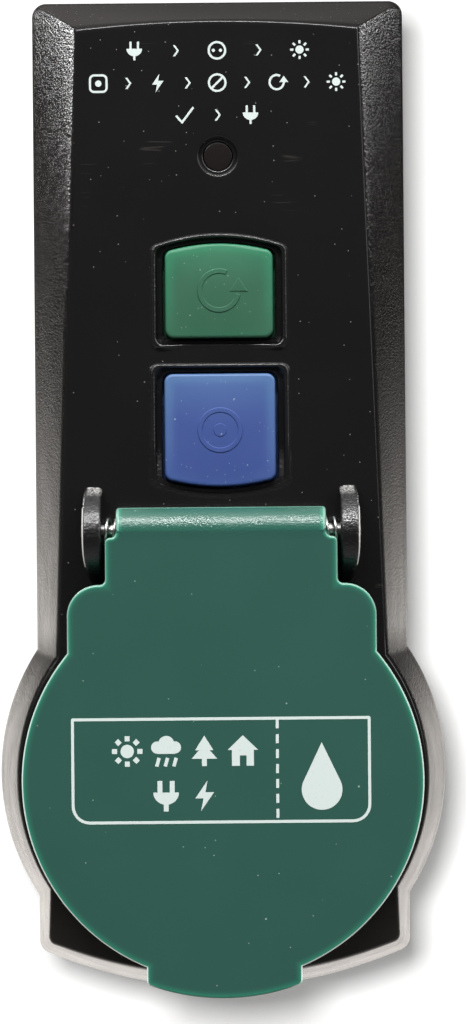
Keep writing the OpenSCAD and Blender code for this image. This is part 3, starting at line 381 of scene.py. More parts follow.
def srgb(red, green, blue):
    """Screen values from 0 to 255 to linear light."""
    c = np.array([red, green, blue]) / 255
    return tuple(np.where(c <= 0.04045, c / 12.92, ((c + 0.055) / 1.055) ** 2.4).tolist())


SOCKET_NAMES = {"ior": "IOR", "metallic": "Metallic"}


def finish_of(name, recipe, **constants):
    """A material whose recipe returns what varies; constants go straight onto the shader."""
    material = bpy.data.materials.new(name)
    finish = Finish(material)
    inputs = {SOCKET_NAMES[key]: value for key, value in constants.items()}
    inputs.update(recipe(finish))
    shader = finish.node("ShaderNodeBsdfPrincipled", None, inputs)
    finish.node("ShaderNodeOutputMaterial", None, {"Surface": shader})
    print(f"{name}: {len(finish.tree.nodes)} nodes")
    return material


# %% [markdown]
# ## Black casing plastic
# One plastic, two moulded textures. The face and the bevel above it come from polished steel, so
# they are smooth with a little dust and a few hair scratches. The flanks come from a spark-eroded
# mould: a fine grain, drawn out along the depth, breaks their reflections into sparkle. Bump gives
# that grain, because it is finer than any mesh that would be sensible. The face's foot, below the
# cover, is painted a shade paler: painted light that lifts the shade under the cover.

# %% Black casing plastic
CASING_IOR = 1.5
BLACK, DUST, DUST_COVER = srgb(16, 15, 15), srgb(150, 146, 140), 0.5
# Painted light: the face's foot is lifted towards this paler black, against the shade below the cover.
FOOT_PAINTED_LIGHT, FOOT_LIGHT_FROM = srgb(38, 36, 33), (-24, -12)
FACE_ROUGH, FACE_HAZE, HAZE_ACROSS, DUST_ROUGH = 0.19, 0.08, 14.0, 0.3
FACE_WAVE, FACE_DEEP = 1.2, 0.004
FACE_SPECKS, FLANK_SPECKS = (1.2, 0.08, 0.5), (1.5, 0.06, 0.2)
SCRATCHES, SCRATCH_COVER = ((0.02, 3.1), (1.9, 3.7)), 0.05
SCRATCH_DRAWN, SCRATCH_THIN, SCRATCH_PATCH, SCRATCHED = 0.015, 0.004, 7.0, (0.66, 0.74)
GRAIN, FINER_GRAIN = 0.34, 0.4
FLANK_DEEP, FLANK_DRAWN, FLANK_LOW, FLANK_RISE = 0.18, 0.33, 0.32, (40, 90)
FLANK_ROUGH, FLANK_CLOUD, CLOUD_ACROSS = 0.2, 0.1, 6.0
FINE_DEEP = 0.045


def scratches(finish, turn, cell):
    """Hair scratches: the thin crest of a noise drawn out along one direction, in patches."""
    drawn = {"Vector": finish.place(), "Rotation": (0, turn, 0), "Scale": (SCRATCH_DRAWN, 1, 1)}
    line = finish.noise(cell, 1.0, 0.4, finish.node("ShaderNodeMapping", None, drawn))
    crest = 1 - (line - 0.5).math("ABSOLUTE").ramp(0.0, SCRATCH_THIN)
    return crest * finish.noise(SCRATCH_PATCH, 1.0).ramp(*SCRATCHED)


def polished_black(finish):
    """Smooth black with dust and hair scratches, and painted light that makes its foot paler."""
    dust = finish.specks(*FACE_SPECKS)
    marks = sum(scratches(finish, turn, cell) * SCRATCH_COVER for turn, cell in SCRATCHES)
    black = finish.blend(finish.axis("Z").ramp(*FOOT_LIGHT_FROM), FOOT_PAINTED_LIGHT, BLACK)
    return {
        "Base Color": finish.blend(dust * DUST_COVER + marks, black, DUST),
        "Roughness": FACE_ROUGH + finish.noise(HAZE_ACROSS, 3.0) * FACE_HAZE + dust * DUST_ROUGH,
        "Normal": finish.bump(finish.noise(FACE_WAVE, 1.0), FACE_DEEP),
    }


def cloudy_rough(finish):
    """Roughness of the eroded plastic, in soft clouds."""
    return FLANK_ROUGH + finish.noise(CLOUD_ACROSS, 2.0) * FLANK_CLOUD


def eroded_black(deep, drawn, low=1):
    """Grain of a depth, drawn out along the part's depth by 1 / drawn. Steep walls only leave the
    mould with a shallow grain, so the low end keeps a share of the depth."""

    def recipe(finish):
        at = finish.node("ShaderNodeMapping", None, {"Vector": finish.place(), "Scale": (1, drawn, 1)})
        grain = finish.noise(GRAIN, 1.0, 0.4, at) + finish.noise(GRAIN / 2, 1.0, 0.5, at) * FINER_GRAIN
        if low < 1:
            grain = grain * (low + finish.axis("Z").ramp(*FLANK_RISE) * (1 - low))
        return {
            "Base Color": finish.blend(finish.specks(*FLANK_SPECKS) * DUST_COVER, BLACK, DUST),
            "Roughness": cloudy_rough(finish),
            "Normal": finish.bump(grain, deep),
        }

    return recipe


flank_recipe = eroded_black(FLANK_DEEP, FLANK_DRAWN, FLANK_LOW)
casing_smooth = finish_of("casing_smooth", polished_black, ior=CASING_IOR)
casing_eroded = finish_of("casing_eroded", flank_recipe, ior=CASING_IOR)
casing_fine = finish_of("casing_fine", eroded_black(FINE_DEEP, 1.0), ior=CASING_IOR)

# %% [markdown]
# ## Front casing
# The front half is a stack of outlines that lean in towards the face. An outline is a bowed bottom,
# sides that a round bulge interrupts, and a bowed top. Going up the stack from the inner face down
# the inside, round the parting rim and up the outside gives wall and skin in one grid. Each window
# in the face is a stack of its own, with its raised frame or collar, and two flat sheets close the
# shell.

# %% Sizes of the casing
CASING_W, CASING_TOP, CASING_LOW = 53.0, 110.0, 31.1
LOW_BOW, CORNER_R, WALL = 5.8, 2.0, 2.4
REAR_D, FACE_D = 20.0, 40.0
INNER_D = FACE_D - WALL
FACE_TOP_W, FACE_LOW_W, FACE_DROP, FACE_BOW, FACE_RISE = 39.4, 48.7, 4.5, 1.1, 3.6
BULGE_R, BULGE_FACE_R = 31.8, 28.5
RIM_EDGE, FACE_EDGE, FLAT_RING = 0.4, 0.28, 0.4
FACE_CORNER_R, MITRE_R, MITRE_FROM, LEAST_R = 1.3, 0.35, 0.3, 0.25
FLANK_STRAIGHT = 0.92
LOW_STEPS, SIDE_STEPS, BULGE_STEPS, TALL_STEPS, TOP_STEPS, CORNER_STEPS = 24, 4, 48, 24, 18, 9


def casing_outline(t, inset):
    """Outline at a share t of the flank's lean, drawn in by inset.
    Bottom: parabola, or the bulge's circle where that is lower. Sides: straight lines that the
    circle about the plug axis interrupts. Top: parabola. Corners: arcs."""
    low_half = mix(CASING_W, FACE_LOW_W, t) / 2 - inset
    top_half = mix(CASING_W, FACE_TOP_W, t) / 2 - inset
    bulge = mix(BULGE_R, BULGE_FACE_R, t) - inset
    low_rate = LOW_BOW * (2 / CASING_W) ** 2
    top_rate = FACE_BOW * t / top_half**2
    low_mid = -CASING_LOW + FACE_RISE * t + inset
    top_mid = CASING_TOP - FACE_DROP * t - inset
    low = np.array([low_half, low_mid + low_rate * low_half**2])
    top = np.array([top_half, top_mid - top_rate * top_half**2])
    low_r = max(mix(CORNER_R, FACE_CORNER_R, t) - inset, LEAST_R)
    top_r = max(mix(CORNER_R, MITRE_R, smoothstep(t / MITRE_FROM)) - inset, LEAST_R)
    low_arc = fillet(low - [1, 2 * low_rate * low_half], low, top, low_r, CORNER_STEPS)
    top_arc = fillet(low, top, top + [-1, 2 * top_rate * top_half], top_r, CORNER_STEPS)
    side = top - low
    a, b, c = side @ side, 2 * low @ side, low @ low - bulge**2
    root = math.sqrt(b * b - 4 * a * c)
    leave, meet = (low + side * s for s in ((-b - root) / (2 * a), (-b + root) / (2 * a)))
    turn = np.linspace(angle_of(leave), angle_of(meet), BULGE_STEPS)
    low_x = np.linspace(0, low_arc[0, 0], LOW_STEPS)[:-1]
    low_y = np.minimum(low_mid + low_rate * low_x**2, -np.sqrt(np.maximum(bulge**2 - low_x**2, 0)))
    top_x = np.linspace(top_arc[-1, 0], 0, TOP_STEPS)[1:]
    return both_halves(np.concatenate([
        np.stack([low_x, low_y], -1),
        low_arc,
        between(low_arc[-1], leave, SIDE_STEPS),
        bulge * compass(turn),
        between(meet, top_arc[0], TALL_STEPS),
        top_arc,
        np.stack([top_x, top_mid - top_rate * top_x**2], -1),
    ]))


def flank(share):
    """Lean at a share s of the front half's depth: k s + (1 - k) s^3, a shade steeper at the rim."""
    return FLANK_STRAIGHT * share + (1 - FLANK_STRAIGHT) * share**3


# %% Outer stack of the front casing
# The fourth mark picks the lug finish, which paints highlights on the lugs' caps and outer edges.
SMOOTH, ERODED, FINE, GLINTED = 0, 1, 2, 3
FLANK_STEPS, EDGE_STEPS, INNER_STEPS, INNER_FROM = 12, 6, 6, INNER_D - 1
FRONT_DEEP = FACE_D - REAR_D


def lean_at(d):
    """Share of the lean at a depth."""
    return flank((d - REAR_D) / FRONT_DEEP)


rim_turn = quarter(RIM_EDGE, EDGE_STEPS)
face_turn = quarter(FACE_EDGE, EDGE_STEPS)
inner_levels = [(INNER_D, 1, WALL + FLAT_RING), (INNER_D, 1, WALL)]
inner_levels += [(d, lean_at(d), WALL) for d in np.linspace(INNER_FROM, REAR_D, INNER_STEPS)]
outer_levels = [(REAR_D + travel, 0, RIM_EDGE - rise) for travel, rise in rim_turn]
flank_ds = np.linspace(REAR_D + RIM_EDGE, FACE_D - FACE_EDGE, FLANK_STEPS)[1:]
outer_levels += [(d, lean_at(d), 0) for d in flank_ds]
outer_levels += [(FACE_D - FACE_EDGE + rise, lean_at(FACE_D), travel) for travel, rise in face_turn[1:]]
outer_levels += [(FACE_D, 1, FACE_EDGE + FLAT_RING)]
shell_rows = np.stack([
    place(*casing_outline(t, inset).T, d) for d, t, inset in inner_levels + outer_levels
])
columns = shell_rows.shape[1]
bevel_from = LOW_STEPS - 1 + CORNER_STEPS + SIDE_STEPS + BULGE_STEPS + TALL_STEPS + CORNER_STEPS // 2
shell_marks = np.full((len(shell_rows) - 1, columns), ERODED)
shell_marks[:, bevel_from:columns - bevel_from] = SMOOTH
shell_marks[-len(face_turn):] = SMOOTH
front = Skin()
front.grid(shell_rows, shell_marks)
print("front casing outline:", columns, "points,", len(shell_rows), "levels")

# %% [markdown]
# A window's stack starts on the face, climbs over its frame, drops to a sunken floor and goes
# through the wall. The frame is a flat-topped bead with rounded shoulders, which is why it shows
# as two fine bright lines. The lower button's frame fades out towards the hinge.

# %% Windows of the face
RESET_W, RESET_H, RESET_UP = 15.0, 13.1, 67.8
TEST_W, TEST_H, TEST_UP = 15.4, 15.7, 48.4
BUTTON_BOW, BUTTON_R, BUTTON_FIT = 1.1, 1.2, 0.35
FRAME_IN, FRAME_OUT, FRAME_H, FRAME_EDGE, FRAME_SINK = 1.25, 2.0, 0.5, 0.34, 0.8
FRAME_SLIM, FRAME_RING, FRAME_FOOT = 0.72, 0.3, 0.1
FLOOR_FOOT, FLOOR_RING, HOLE_EDGE = 0.12, 0.05, 0.2
RESET_LOW, RESET_LOW_FROM = 0.9, 2.0
TEST_FADE, TEST_SINK = (41.5, 46.0), 0.2
BUTTON_SIDE_STEPS, BOW_STEPS = 14, 22


def button_outline(w, h, up, end, slim=1.0):
    """Rounded rectangle with one bowed end, as a function of its growth; slim thins the growth
    above and below. end is 1 where the top is bowed and -1 where the bottom is."""

    def outline(grow):
        half, tall = w / 2 + grow, h / 2 + grow * slim
        rate = BUTTON_BOW / (w / 2) ** 2
        flat = np.array([half, -tall])
        bowed = np.array([half, tall - rate * half**2])
        radius = BUTTON_R + min(grow, 0)
        flat_arc = fillet(flat - [1, 0], flat, bowed, radius, CORNER_STEPS)
        bowed_arc = fillet(flat, bowed, bowed + [-1, 2 * rate * half], radius, CORNER_STEPS)
        x = np.linspace(bowed_arc[-1, 0], 0, BOW_STEPS)[1:]
        right = np.concatenate([
            [[0, -tall]],
            between(np.array([0, -tall]), flat_arc[0], SIDE_STEPS),
            flat_arc,
            between(flat_arc[-1], bowed_arc[0], BUTTON_SIDE_STEPS),
            bowed_arc,
            np.stack([x, tall - rate * x**2], -1),
        ])
        return both_halves(right) * [1, end] + [0, up]

    return outline


def frame_levels(fade, sink):
    """Levels of a framed window, outside to inside. fade(loop) scales the frame's height, and
    sink(loop) the depth of the floor inside it."""
    soft = quarter(FRAME_EDGE, 5)
    over = [(FRAME_H - FRAME_EDGE + rise, FRAME_OUT - travel) for travel, rise in soft]
    back = [(FRAME_H - travel, FRAME_IN + FRAME_EDGE - rise) for travel, rise in soft]
    rows = [(0, FRAME_OUT + FRAME_RING), (0, FRAME_OUT + FRAME_FOOT), (FRAME_FOOT, FRAME_OUT)]
    levels = [(lambda loop, h=h: FACE_D + h * fade(loop), grow) for h, grow in rows + over + back]
    hole = BUTTON_FIT + HOLE_EDGE
    floor = [(FLOOR_FOOT, FRAME_IN), (0, FRAME_IN - FLOOR_FOOT), (0, hole + FLOOR_RING)]
    floor += [(-travel, hole - rise) for travel, rise in quarter(HOLE_EDGE, 4)]
    levels += [(lambda loop, h=h: FACE_D + h - FRAME_SINK * sink(loop), grow) for h, grow in floor]
    return levels + [(INNER_D, BUTTON_FIT), (INNER_D, BUTTON_FIT + FLAT_RING)]


def reset_fade(loop):
    """The upper frame is low along its bottom, between the corners."""
    low = 1 - smoothstep(loop[:, 1] - (RESET_UP - RESET_H / 2 - FRAME_IN))
    return 1 - RESET_LOW * low * smoothstep((RESET_W / 2 - np.abs(loop[:, 0])) / RESET_LOW_FROM)


def test_fade(loop):
    """The lower frame fades out towards the hinge."""
    return smoothstep((loop[:, 1] - TEST_FADE[0]) / (TEST_FADE[1] - TEST_FADE[0]))


def window(skin, grid_of, levels, mark=0):
    """Adds a window's stack and returns its first and last loop for the sheets."""
    skin.grid(stack(grid_of, levels), mark)
    return grid_of(levels[0][1]), grid_of(levels[-1][1])


reset_shape = button_outline(RESET_W, RESET_H, RESET_UP, 1, FRAME_SLIM)
test_shape = button_outline(TEST_W, TEST_H, TEST_UP, -1, FRAME_SLIM)
LENS_UP, LENS_R, LENS_RING, LENS_SINK = 86.6, 1.95, 0.75, 0.6
LENS_EDGE, LENS_FOOT, LENS_DRAFT, LENS_STEP, LENS_FIT = 0.2, 0.1, 0.08, 0.42, 0.1
LENS_OUT, LENS_BEHIND, LENS_STEPS = 0.5, 0.3, 72
COLLAR_D, COLLAR_R, CUP_HOLE_R = 45.3, 23.4, 21.75
COLLAR_FOOT, COLLAR_EDGE, CUP_RING, COLLAR_STEPS = 0.3, 0.4, 0.6, 160

lens_turn = quarter(LENS_EDGE, 5)[1:]
lens_floor = FACE_D - LENS_SINK
lens_levels = [(FACE_D, LENS_OUT), (FACE_D, LENS_EDGE)]
lens_levels += [(FACE_D - travel, LENS_EDGE - rise) for travel, rise in lens_turn]
lens_levels += [(lens_floor + LENS_FOOT, -LENS_DRAFT), (lens_floor, -LENS_DRAFT - LENS_FOOT)]
lens_levels += [(lens_floor, -LENS_STEP)]
lens_levels += [(lens_floor - travel, -LENS_STEP - rise) for travel, rise in lens_turn]
lens_levels += [(INNER_D, LENS_FIT - LENS_RING), (INNER_D, LENS_BEHIND)]
lens_circle = circle(0, LENS_UP, LENS_STEPS)

collar_turn = quarter(COLLAR_EDGE, 5)
collar_bend = COLLAR_FOOT * 0.3
collar_levels = [(FACE_D, COLLAR_R + COLLAR_FOOT + FLAT_RING), (FACE_D, COLLAR_R + COLLAR_FOOT)]
collar_levels += [(FACE_D + collar_bend, COLLAR_R + collar_bend), (FACE_D + COLLAR_FOOT, COLLAR_R)]
collar_levels += [(COLLAR_D - COLLAR_EDGE + rise, COLLAR_R - travel) for travel, rise in collar_turn]
collar_levels += [(COLLAR_D - travel, CUP_HOLE_R + COLLAR_EDGE - rise) for travel, rise in collar_turn]
collar_levels += [(INNER_D, CUP_HOLE_R), (INNER_D, CUP_HOLE_R + CUP_RING)]
collar_circle = circle(0, 0, COLLAR_STEPS)

test_levels = frame_levels(test_fade, lambda loop: mix(TEST_SINK, 1, test_fade(loop)))
window_loops = [
    window(front, reset_shape, frame_levels(reset_fade, lambda loop: 1.0), FINE),
    window(front, test_shape, test_levels, FINE),
    window(front, lambda grow: lens_circle(LENS_R + LENS_RING + grow), lens_levels),
    window(front, collar_circle, collar_levels),
]
outer_loops = [loops[0] for loops in window_loops]
inner_loops = [loops[1] for loops in window_loops]
for edge, loops, d in ((FACE_EDGE, outer_loops, FACE_D), (WALL, inner_loops, INNER_D)):
    front.sheet([casing_outline(1, edge + FLAT_RING)] + loops, lambda flat, d=d: place(*flat.T, d))
print("windows in the face:", len(window_loops))

# %% [markdown]
# The hinge lugs stand on the face as humps, seen end-on in the photograph as slim bars. Their edges
# are rounded off, and the outer side curves in towards its lower end. The upper ends and the outer
# edges carry painted highlights, which the finish works out from the place on the lug.

# %% Hinge lugs
HINGE_UP = joints["cover_hinge"]["pos_m"][2] / MM
HINGE_D = -joints["cover_hinge"]["pos_m"][1] / MM
LUG_GAP, LUG_W, LUG_R, LUG_L, LUG_SHIFT = 33.0, 2.7, 2.7, 13.3, 0.65
LUG_EDGE, LUG_RING, LUG_SINK, LUG_DRAW = 0.45, 0.3, 0.2, 0.42
LUG_FOOT_L, LUG_FOOT_H, LUG_FOOT_R, LUG_FOOT_EDGE = 2.4, 1.2, 0.7, 0.49
LUG_FOOT_SIDES, LUG_FOOT_PAST = (0.05, 0.15), 0.1
LUG_STEPS, SOLE_STEPS = 60, 6
# Painted highlight: a pale colour and its share for a line along each lug's outer edge and a sparkling cap.
LUG_GLINT_PALE, LUG_GLINT_SHARE, LUG_GRAIN, LUG_DEEP = srgb(222, 220, 216), 0.9, 0.3, 0.09
LINE_FROM, LINE_TO, LINE_SOFT, LINE_IN = -5.1, 3.4, 0.4, 0.24
CAP_FROM, CAP_SOFT, CAP_SIDE = 4.7, 1.0, (0.9, 0.5)
CAP_LEAST, CAP_SPARKLE, CAP_CREST = 0.12, 0.45, (0.4, 0.62)


def painted_glint_black(finish):
    """Grained black plastic with painted highlights on the lugs' upper ends and along their outer edges."""
    up = finish.axis("Z") - HINGE_UP
    away = (up * (-1 / (LUG_L / 2 + LUG_SHIFT))).math("MAXIMUM", 0.0)
    across = finish.axis("X").math("ABSOLUTE") - LUG_GAP / 2
    across = across.math("DIVIDE", 1 - away * away * away * LUG_DRAW)
    edge = across.ramp(LUG_W - LINE_IN, LUG_W - LINE_IN / 2)
    edge = edge * up.ramp(LINE_FROM, LINE_FROM + LINE_SOFT) * (1 - up.ramp(LINE_TO - LINE_SOFT, LINE_TO))
    grain = finish.noise(LUG_GRAIN, 1.0, 0.4)
    cap = up.ramp(CAP_FROM, CAP_FROM + CAP_SOFT) * (CAP_LEAST + grain.ramp(*CAP_CREST) * CAP_SPARKLE)
    cap = cap * (1 - across.ramp(LUG_W - CAP_SIDE[0], LUG_W - CAP_SIDE[1]))
    return {
        "Base Color": finish.blend(edge.math("MAXIMUM", cap) * LUG_GLINT_SHARE, BLACK, LUG_GLINT_PALE),
        "Roughness": cloudy_rough(finish),
        "Normal": finish.bump(grain, LUG_DEEP),
    }


lug_finish = finish_of("lug_black", painted_glint_black, ior=CASING_IOR)


def lug_profile(inset):
    """Side view of a lug in (up, d): half an ellipse that stands on the foot's length."""
    foot_d = FACE_D - LUG_SINK
    middle = HINGE_UP - LUG_SHIFT
    half, tall = LUG_L / 2 - inset, HINGE_D + LUG_R - foot_d - inset
    hump = [middle, foot_d] + [half, tall] * compass(np.linspace(0, math.pi, LUG_STEPS))
    return np.concatenate([hump, between(hump[-1], hump[0], SOLE_STEPS)])


def lug_x(up, across):
    """Place across a lug: its outer side draws in by the cube of the distance from the pin."""
    away = (HINGE_UP - up) / (LUG_L / 2 + LUG_SHIFT)
    return LUG_GAP / 2 + across * (1 - np.where(away > 0, LUG_DRAW, LUG_DRAW / 3) * np.abs(away) ** 3)


def lug(skin, side):
    """Lug on one side: its profile at levels across its width, with rounded outer edges."""
    edge_turn = quarter(LUG_EDGE, 5)
    levels = [(0.0, LUG_EDGE + LUG_RING)]
    levels += [(travel, LUG_EDGE - rise) for travel, rise in edge_turn]
    levels += [(LUG_W - LUG_EDGE + rise, travel) for travel, rise in edge_turn]
    levels += [(LUG_W, LUG_EDGE + LUG_RING)]

    def put(across):
        return lambda flat: place(side * lug_x(flat[:, 0], across), flat[:, 0], flat[:, 1])

    rows = np.stack([put(across)(lug_profile(inset)) for across, inset in levels])
    marks = np.full((len(rows) - 1, rows.shape[1]), GLINTED)
    marks[[0, -1]] = FINE
    skin.grid(rows, marks)
    for across, inset in (levels[0], levels[-1]):
        skin.sheet([lug_profile(inset)], put(across), FINE)


def rounded_box(cx, cy, w, h, radii, n):
    """Rectangle with its own radius at each corner, from the lower right round to the lower left."""
    at = np.array([[w, -h], [w, h], [-w, h], [-w, -h]]) / 2 + [cx, cy]
    return np.concatenate([fillet(at[i - 1], at[i], at[(i + 1) % 4], radii[i], n) for i in range(4)])


def rounded_block(skin, low, high, r, edge, mark):
    """Block between two corners in face terms, with its upright and its front edges rounded."""
    low, high = np.array(low), np.array(high)
    middle, size = (low + high)[:2] / 2, (high - low)[:2]

    def outline(grow):
        return rounded_box(*middle, *(size + 2 * grow), [r + grow] * 4, 5)

    levels = [(low[2], 0)] + [(high[2] - edge + rise, -travel) for travel, rise in quarter(edge, 5)]
    skin.grid(stack(outline, levels), mark)
    for d, grow in (levels[0], levels[-1]):
        skin.sheet([outline(grow)], lambda flat, d=d: place(*flat.T, d), mark)


for side in (-1, 1):
    lug(front, side)
    foot_x = sorted(side * (LUG_GAP / 2 + x) for x in (LUG_FOOT_SIDES[0], LUG_W - LUG_FOOT_SIDES[1]))
    foot_top = HINGE_UP - LUG_SHIFT + LUG_L / 2 + LUG_FOOT_PAST
    foot_low = (foot_x[0], foot_top - LUG_FOOT_L, FACE_D - LUG_SINK)
    foot_high = (foot_x[1], foot_top, FACE_D + LUG_FOOT_H)
    rounded_block(front, foot_low, foot_high, LUG_FOOT_R, LUG_FOOT_EDGE, GLINTED)

front_finishes = [casing_smooth, casing_eroded, casing_fine, lug_finish]
front_skin = front.piece("front_casing_skin", front_finishes)
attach(front_skin, "casing")
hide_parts("front_casing")

# %% [markdown]
# ## Flip cover
# The cover is dark green plastic that lets a little light through at its edges, so its rim looks
# paler; that glow is painted into the colour, as is a pale highlight line along the edge, which fades
# upwards and is left off the tab's lower edge. Its outline runs from the finger tab round the disc to
# the shoulders, the neck and the knuckle. The rounded front edge stores its nearness to the rim on
# the mesh for the finish to read, and the finish works out the softer painted glow on the flat front
# from the distance to the outline.

# %% Finish of the cover
COVER_IOR = 1.48
COVER_GREEN, COVER_CLOUD, COVER_DUST = srgb(37, 73, 64), srgb(60, 98, 90), srgb(160, 180, 172)
# Painted light: the glow colour stands in for light through the thin edges, and the pale colour is a painted
# highlight line.
COVER_PAINTED_GLOW, COVER_PAINTED_HIGHLIGHT = srgb(40, 118, 95), srgb(232, 246, 240)
COVER_SPECKS, COVER_FLECKS = (1.5, 0.07, 0.35), (4.2, 0.04, 0.5)
COVER_CLOUD_ACROSS, COVER_CLOUD_TINT = 9.0, 0.1
COVER_ROUGH, COVER_CLOUD_ROUGH, COVER_DUST_ROUGH = 0.27, 0.06, 0.2
COVER_WAVE, COVER_RIPPLE = 1.4, 0.03
KNUCKLE_FROM, KNUCKLE_SOFT, KNUCKLE_GLOSS = 32.8, 2.5, 0.08
KNUCKLE_GRAIN, KNUCKLE_FINER, KNUCKLE_DEEP = 0.26, 0.5, 0.05
COVER_R, TAB_HALF, TAB_R, TAB_FROM = 27.7, 10.7, 29.9, -20.0
SHOULDER_HALF, SHOULDER_UP, SHOULDER_R = 21.3, 27.1, 4.3
NECK_HALF, NECK_FROM = 16.0, 20.0
GLOW_IN, GLOW_MOST, GLOW_FADE = 1.15, 0.65, 0.35
PALE_ABOVE, PALE_FADE, PALE_FROM = (-15, 32), 0.82, (-28.6, -27.6)
RIM_GLOW, RIM_LINE = (0.0, 0.75), (0.6, 0.78)


def way_in(finish):
    """Distance in from the cover's outline: the largest of those inside its disc, its shoulders with
    their round corners, its neck and its tab."""
    x, up = finish.axis("X").math("ABSOLUTE"), finish.axis("Z")
    radius = (x * x + up * up) ** 0.5
    past_x = (x - (SHOULDER_HALF - SHOULDER_R)).math("MAXIMUM", 0.0)
    past_up = (up - (SHOULDER_UP - SHOULDER_R)).math("MAXIMUM", 0.0)
    shoulders = (SHOULDER_R - (past_x * past_x + past_up * past_up) ** 0.5).math("MINIMUM", up)
    neck = (NECK_HALF - x).math("MINIMUM", up - NECK_FROM)
    tab = (TAB_HALF - x).math("MINIMUM", TAB_R - radius).math("MINIMUM", TAB_FROM - up)
    return (COVER_R - radius).math("MAXIMUM", shoulders).math("MAXIMUM", neck).math("MAXIMUM", tab)


def cover_plastic(finish):
    """Clouded green with painted light: a glow near the outline and a highlight line on the edge, and a
    grained knuckle.
    """
    rim, up = finish.rim(), finish.axis("Z")
    above = up.ramp(*PALE_ABOVE)
    glow = (1 - way_in(finish).ramp(0.0, GLOW_IN)) * (1 - above * GLOW_FADE) * GLOW_MOST
    line = rim.ramp(*RIM_LINE) * up.ramp(*PALE_FROM) * (1 - above * PALE_FADE)
    dust = finish.specks(*COVER_SPECKS) + finish.specks(*COVER_FLECKS)
    cloud = finish.noise(COVER_CLOUD_ACROSS, 3.0)
    cloudy = finish.blend(cloud * COVER_CLOUD_TINT, COVER_GREEN, COVER_CLOUD)
    glowing = finish.blend(rim.ramp(*RIM_GLOW).math("MAXIMUM", glow), cloudy, COVER_PAINTED_GLOW)
    pale = finish.blend(line, glowing, COVER_PAINTED_HIGHLIGHT)
    knuckle = up.ramp(KNUCKLE_FROM, KNUCKLE_FROM + KNUCKLE_SOFT)
    finer = finish.noise(KNUCKLE_GRAIN / 2, 1.0) * KNUCKLE_FINER
    grain = (finish.noise(KNUCKLE_GRAIN, 1.0, 0.4) + finer) * knuckle
    rough = COVER_ROUGH - knuckle * KNUCKLE_GLOSS + cloud * COVER_CLOUD_ROUGH
    return {
        "Base Color": finish.blend(dust * DUST_COVER, pale, COVER_DUST),
        "Roughness": rough + dust * COVER_DUST_ROUGH,
        "Normal": finish.bump(grain + finish.noise(COVER_WAVE, 1.0) * COVER_RIPPLE, KNUCKLE_DEEP),
    }


cover_finish = finish_of("cover_green", cover_plastic, ior=COVER_IOR)

# %% Cover plate
COVER_T, COVER_EDGE, COVER_RING, COVER_WALL = 2.2, 0.35, 0.3, 0.15
KNUCKLE_R = 3.2
COVER_FRONT = HINGE_D + KNUCKLE_R
COVER_BACK = COVER_FRONT - COVER_T
NECK_UP, KNUCKLE_HALF, KNUCKLE_PAST = 33.6, 14.5, 0.3
TAB_ROUND, TAB_CLEAR, NECK_ROUND, STEP_ROUND, KNUCKLE_ROUND = 0.78, 0.2, 0.8, 0.72, 0.68
TAB_STEPS, DISC_STEPS, SHOULDER_STEPS, ROUND_STEPS, KNUCKLE_STEPS = 14, 90, 20, 8, 12
SHOULDER_RUN, NECK_RUN, STEP_RUN = 6, 3, 5
SHARPEST = 0.4
PLATE_RIM, WALL_RIM, RIM_POWER, RIM_END, PLATE_STEPS = 0.5, 0.6, 1.5, 0.5, 5


def cover_outline():
    """Right half from the tab's middle to the knuckle's middle, closed by its mirror image."""
    tab_low = np.array([TAB_HALF, -math.sqrt(TAB_R**2 - TAB_HALF**2)])
    tab_join = np.array([TAB_HALF, -math.sqrt(COVER_R**2 - TAB_HALF**2)])
    side_join = np.array([SHOULDER_HALF, math.sqrt(COVER_R**2 - SHOULDER_HALF**2)])
    along_tab = tab_low + [tab_low[1], -tab_low[0]]
    tab_arc = fillet(along_tab, tab_low, tab_join, TAB_ROUND, ROUND_STEPS)
    tab_turn = np.linspace(-math.pi / 2, angle_of(tab_low), TAB_STEPS)[:-1]
    tab_turn = tab_turn[TAB_R * np.cos(tab_turn) < tab_arc[0, 0] - TAB_CLEAR]
    disc_turn = np.linspace(angle_of(tab_join), angle_of(side_join), DISC_STEPS)
    shoulder, neck = np.array([[SHOULDER_HALF, SHOULDER_UP], [NECK_HALF, SHOULDER_UP]])
    step, knuckle = np.array([[NECK_HALF, NECK_UP], [KNUCKLE_HALF, NECK_UP]])
    top = np.array([KNUCKLE_HALF, HINGE_UP + KNUCKLE_PAST])
    shoulder_arc = fillet(side_join, shoulder, neck, SHOULDER_R, SHOULDER_STEPS)
    neck_arc = fillet(shoulder, neck, step, NECK_ROUND, ROUND_STEPS)
    step_arc = fillet(neck, step, knuckle, STEP_ROUND, ROUND_STEPS)
    knuckle_arc = fillet(step, knuckle, top, KNUCKLE_ROUND, ROUND_STEPS)
    top_x = np.linspace(KNUCKLE_HALF, 0, KNUCKLE_STEPS)
    return both_halves(np.concatenate([
        TAB_R * compass(tab_turn),
        tab_arc,
        COVER_R * compass(disc_turn),
        between(side_join, shoulder_arc[0], SHOULDER_RUN),
        shoulder_arc,
        between(shoulder_arc[-1], neck_arc[0], NECK_RUN),
        neck_arc,
        between(neck_arc[-1], step_arc[0], STEP_RUN),
        step_arc,
        knuckle_arc,
        np.stack([top_x, np.full(KNUCKLE_STEPS, top[1])], -1),
    ]))


def drawn_in(loop, inset):
    """Loop moved inwards along its own normals, which are the mean of its two edges' normals."""
    ahead = np.roll(loop, -1, 0) - loop
    ahead /= np.linalg.norm(ahead, axis=1, keepdims=True)
    mean = ahead + np.roll(ahead, 1, 0)
    square = (mean**2).sum(1, keepdims=True) / 2
    return loop + inset * np.stack([-mean[:, 1], mean[:, 0]], -1) / np.maximum(square, SHARPEST)


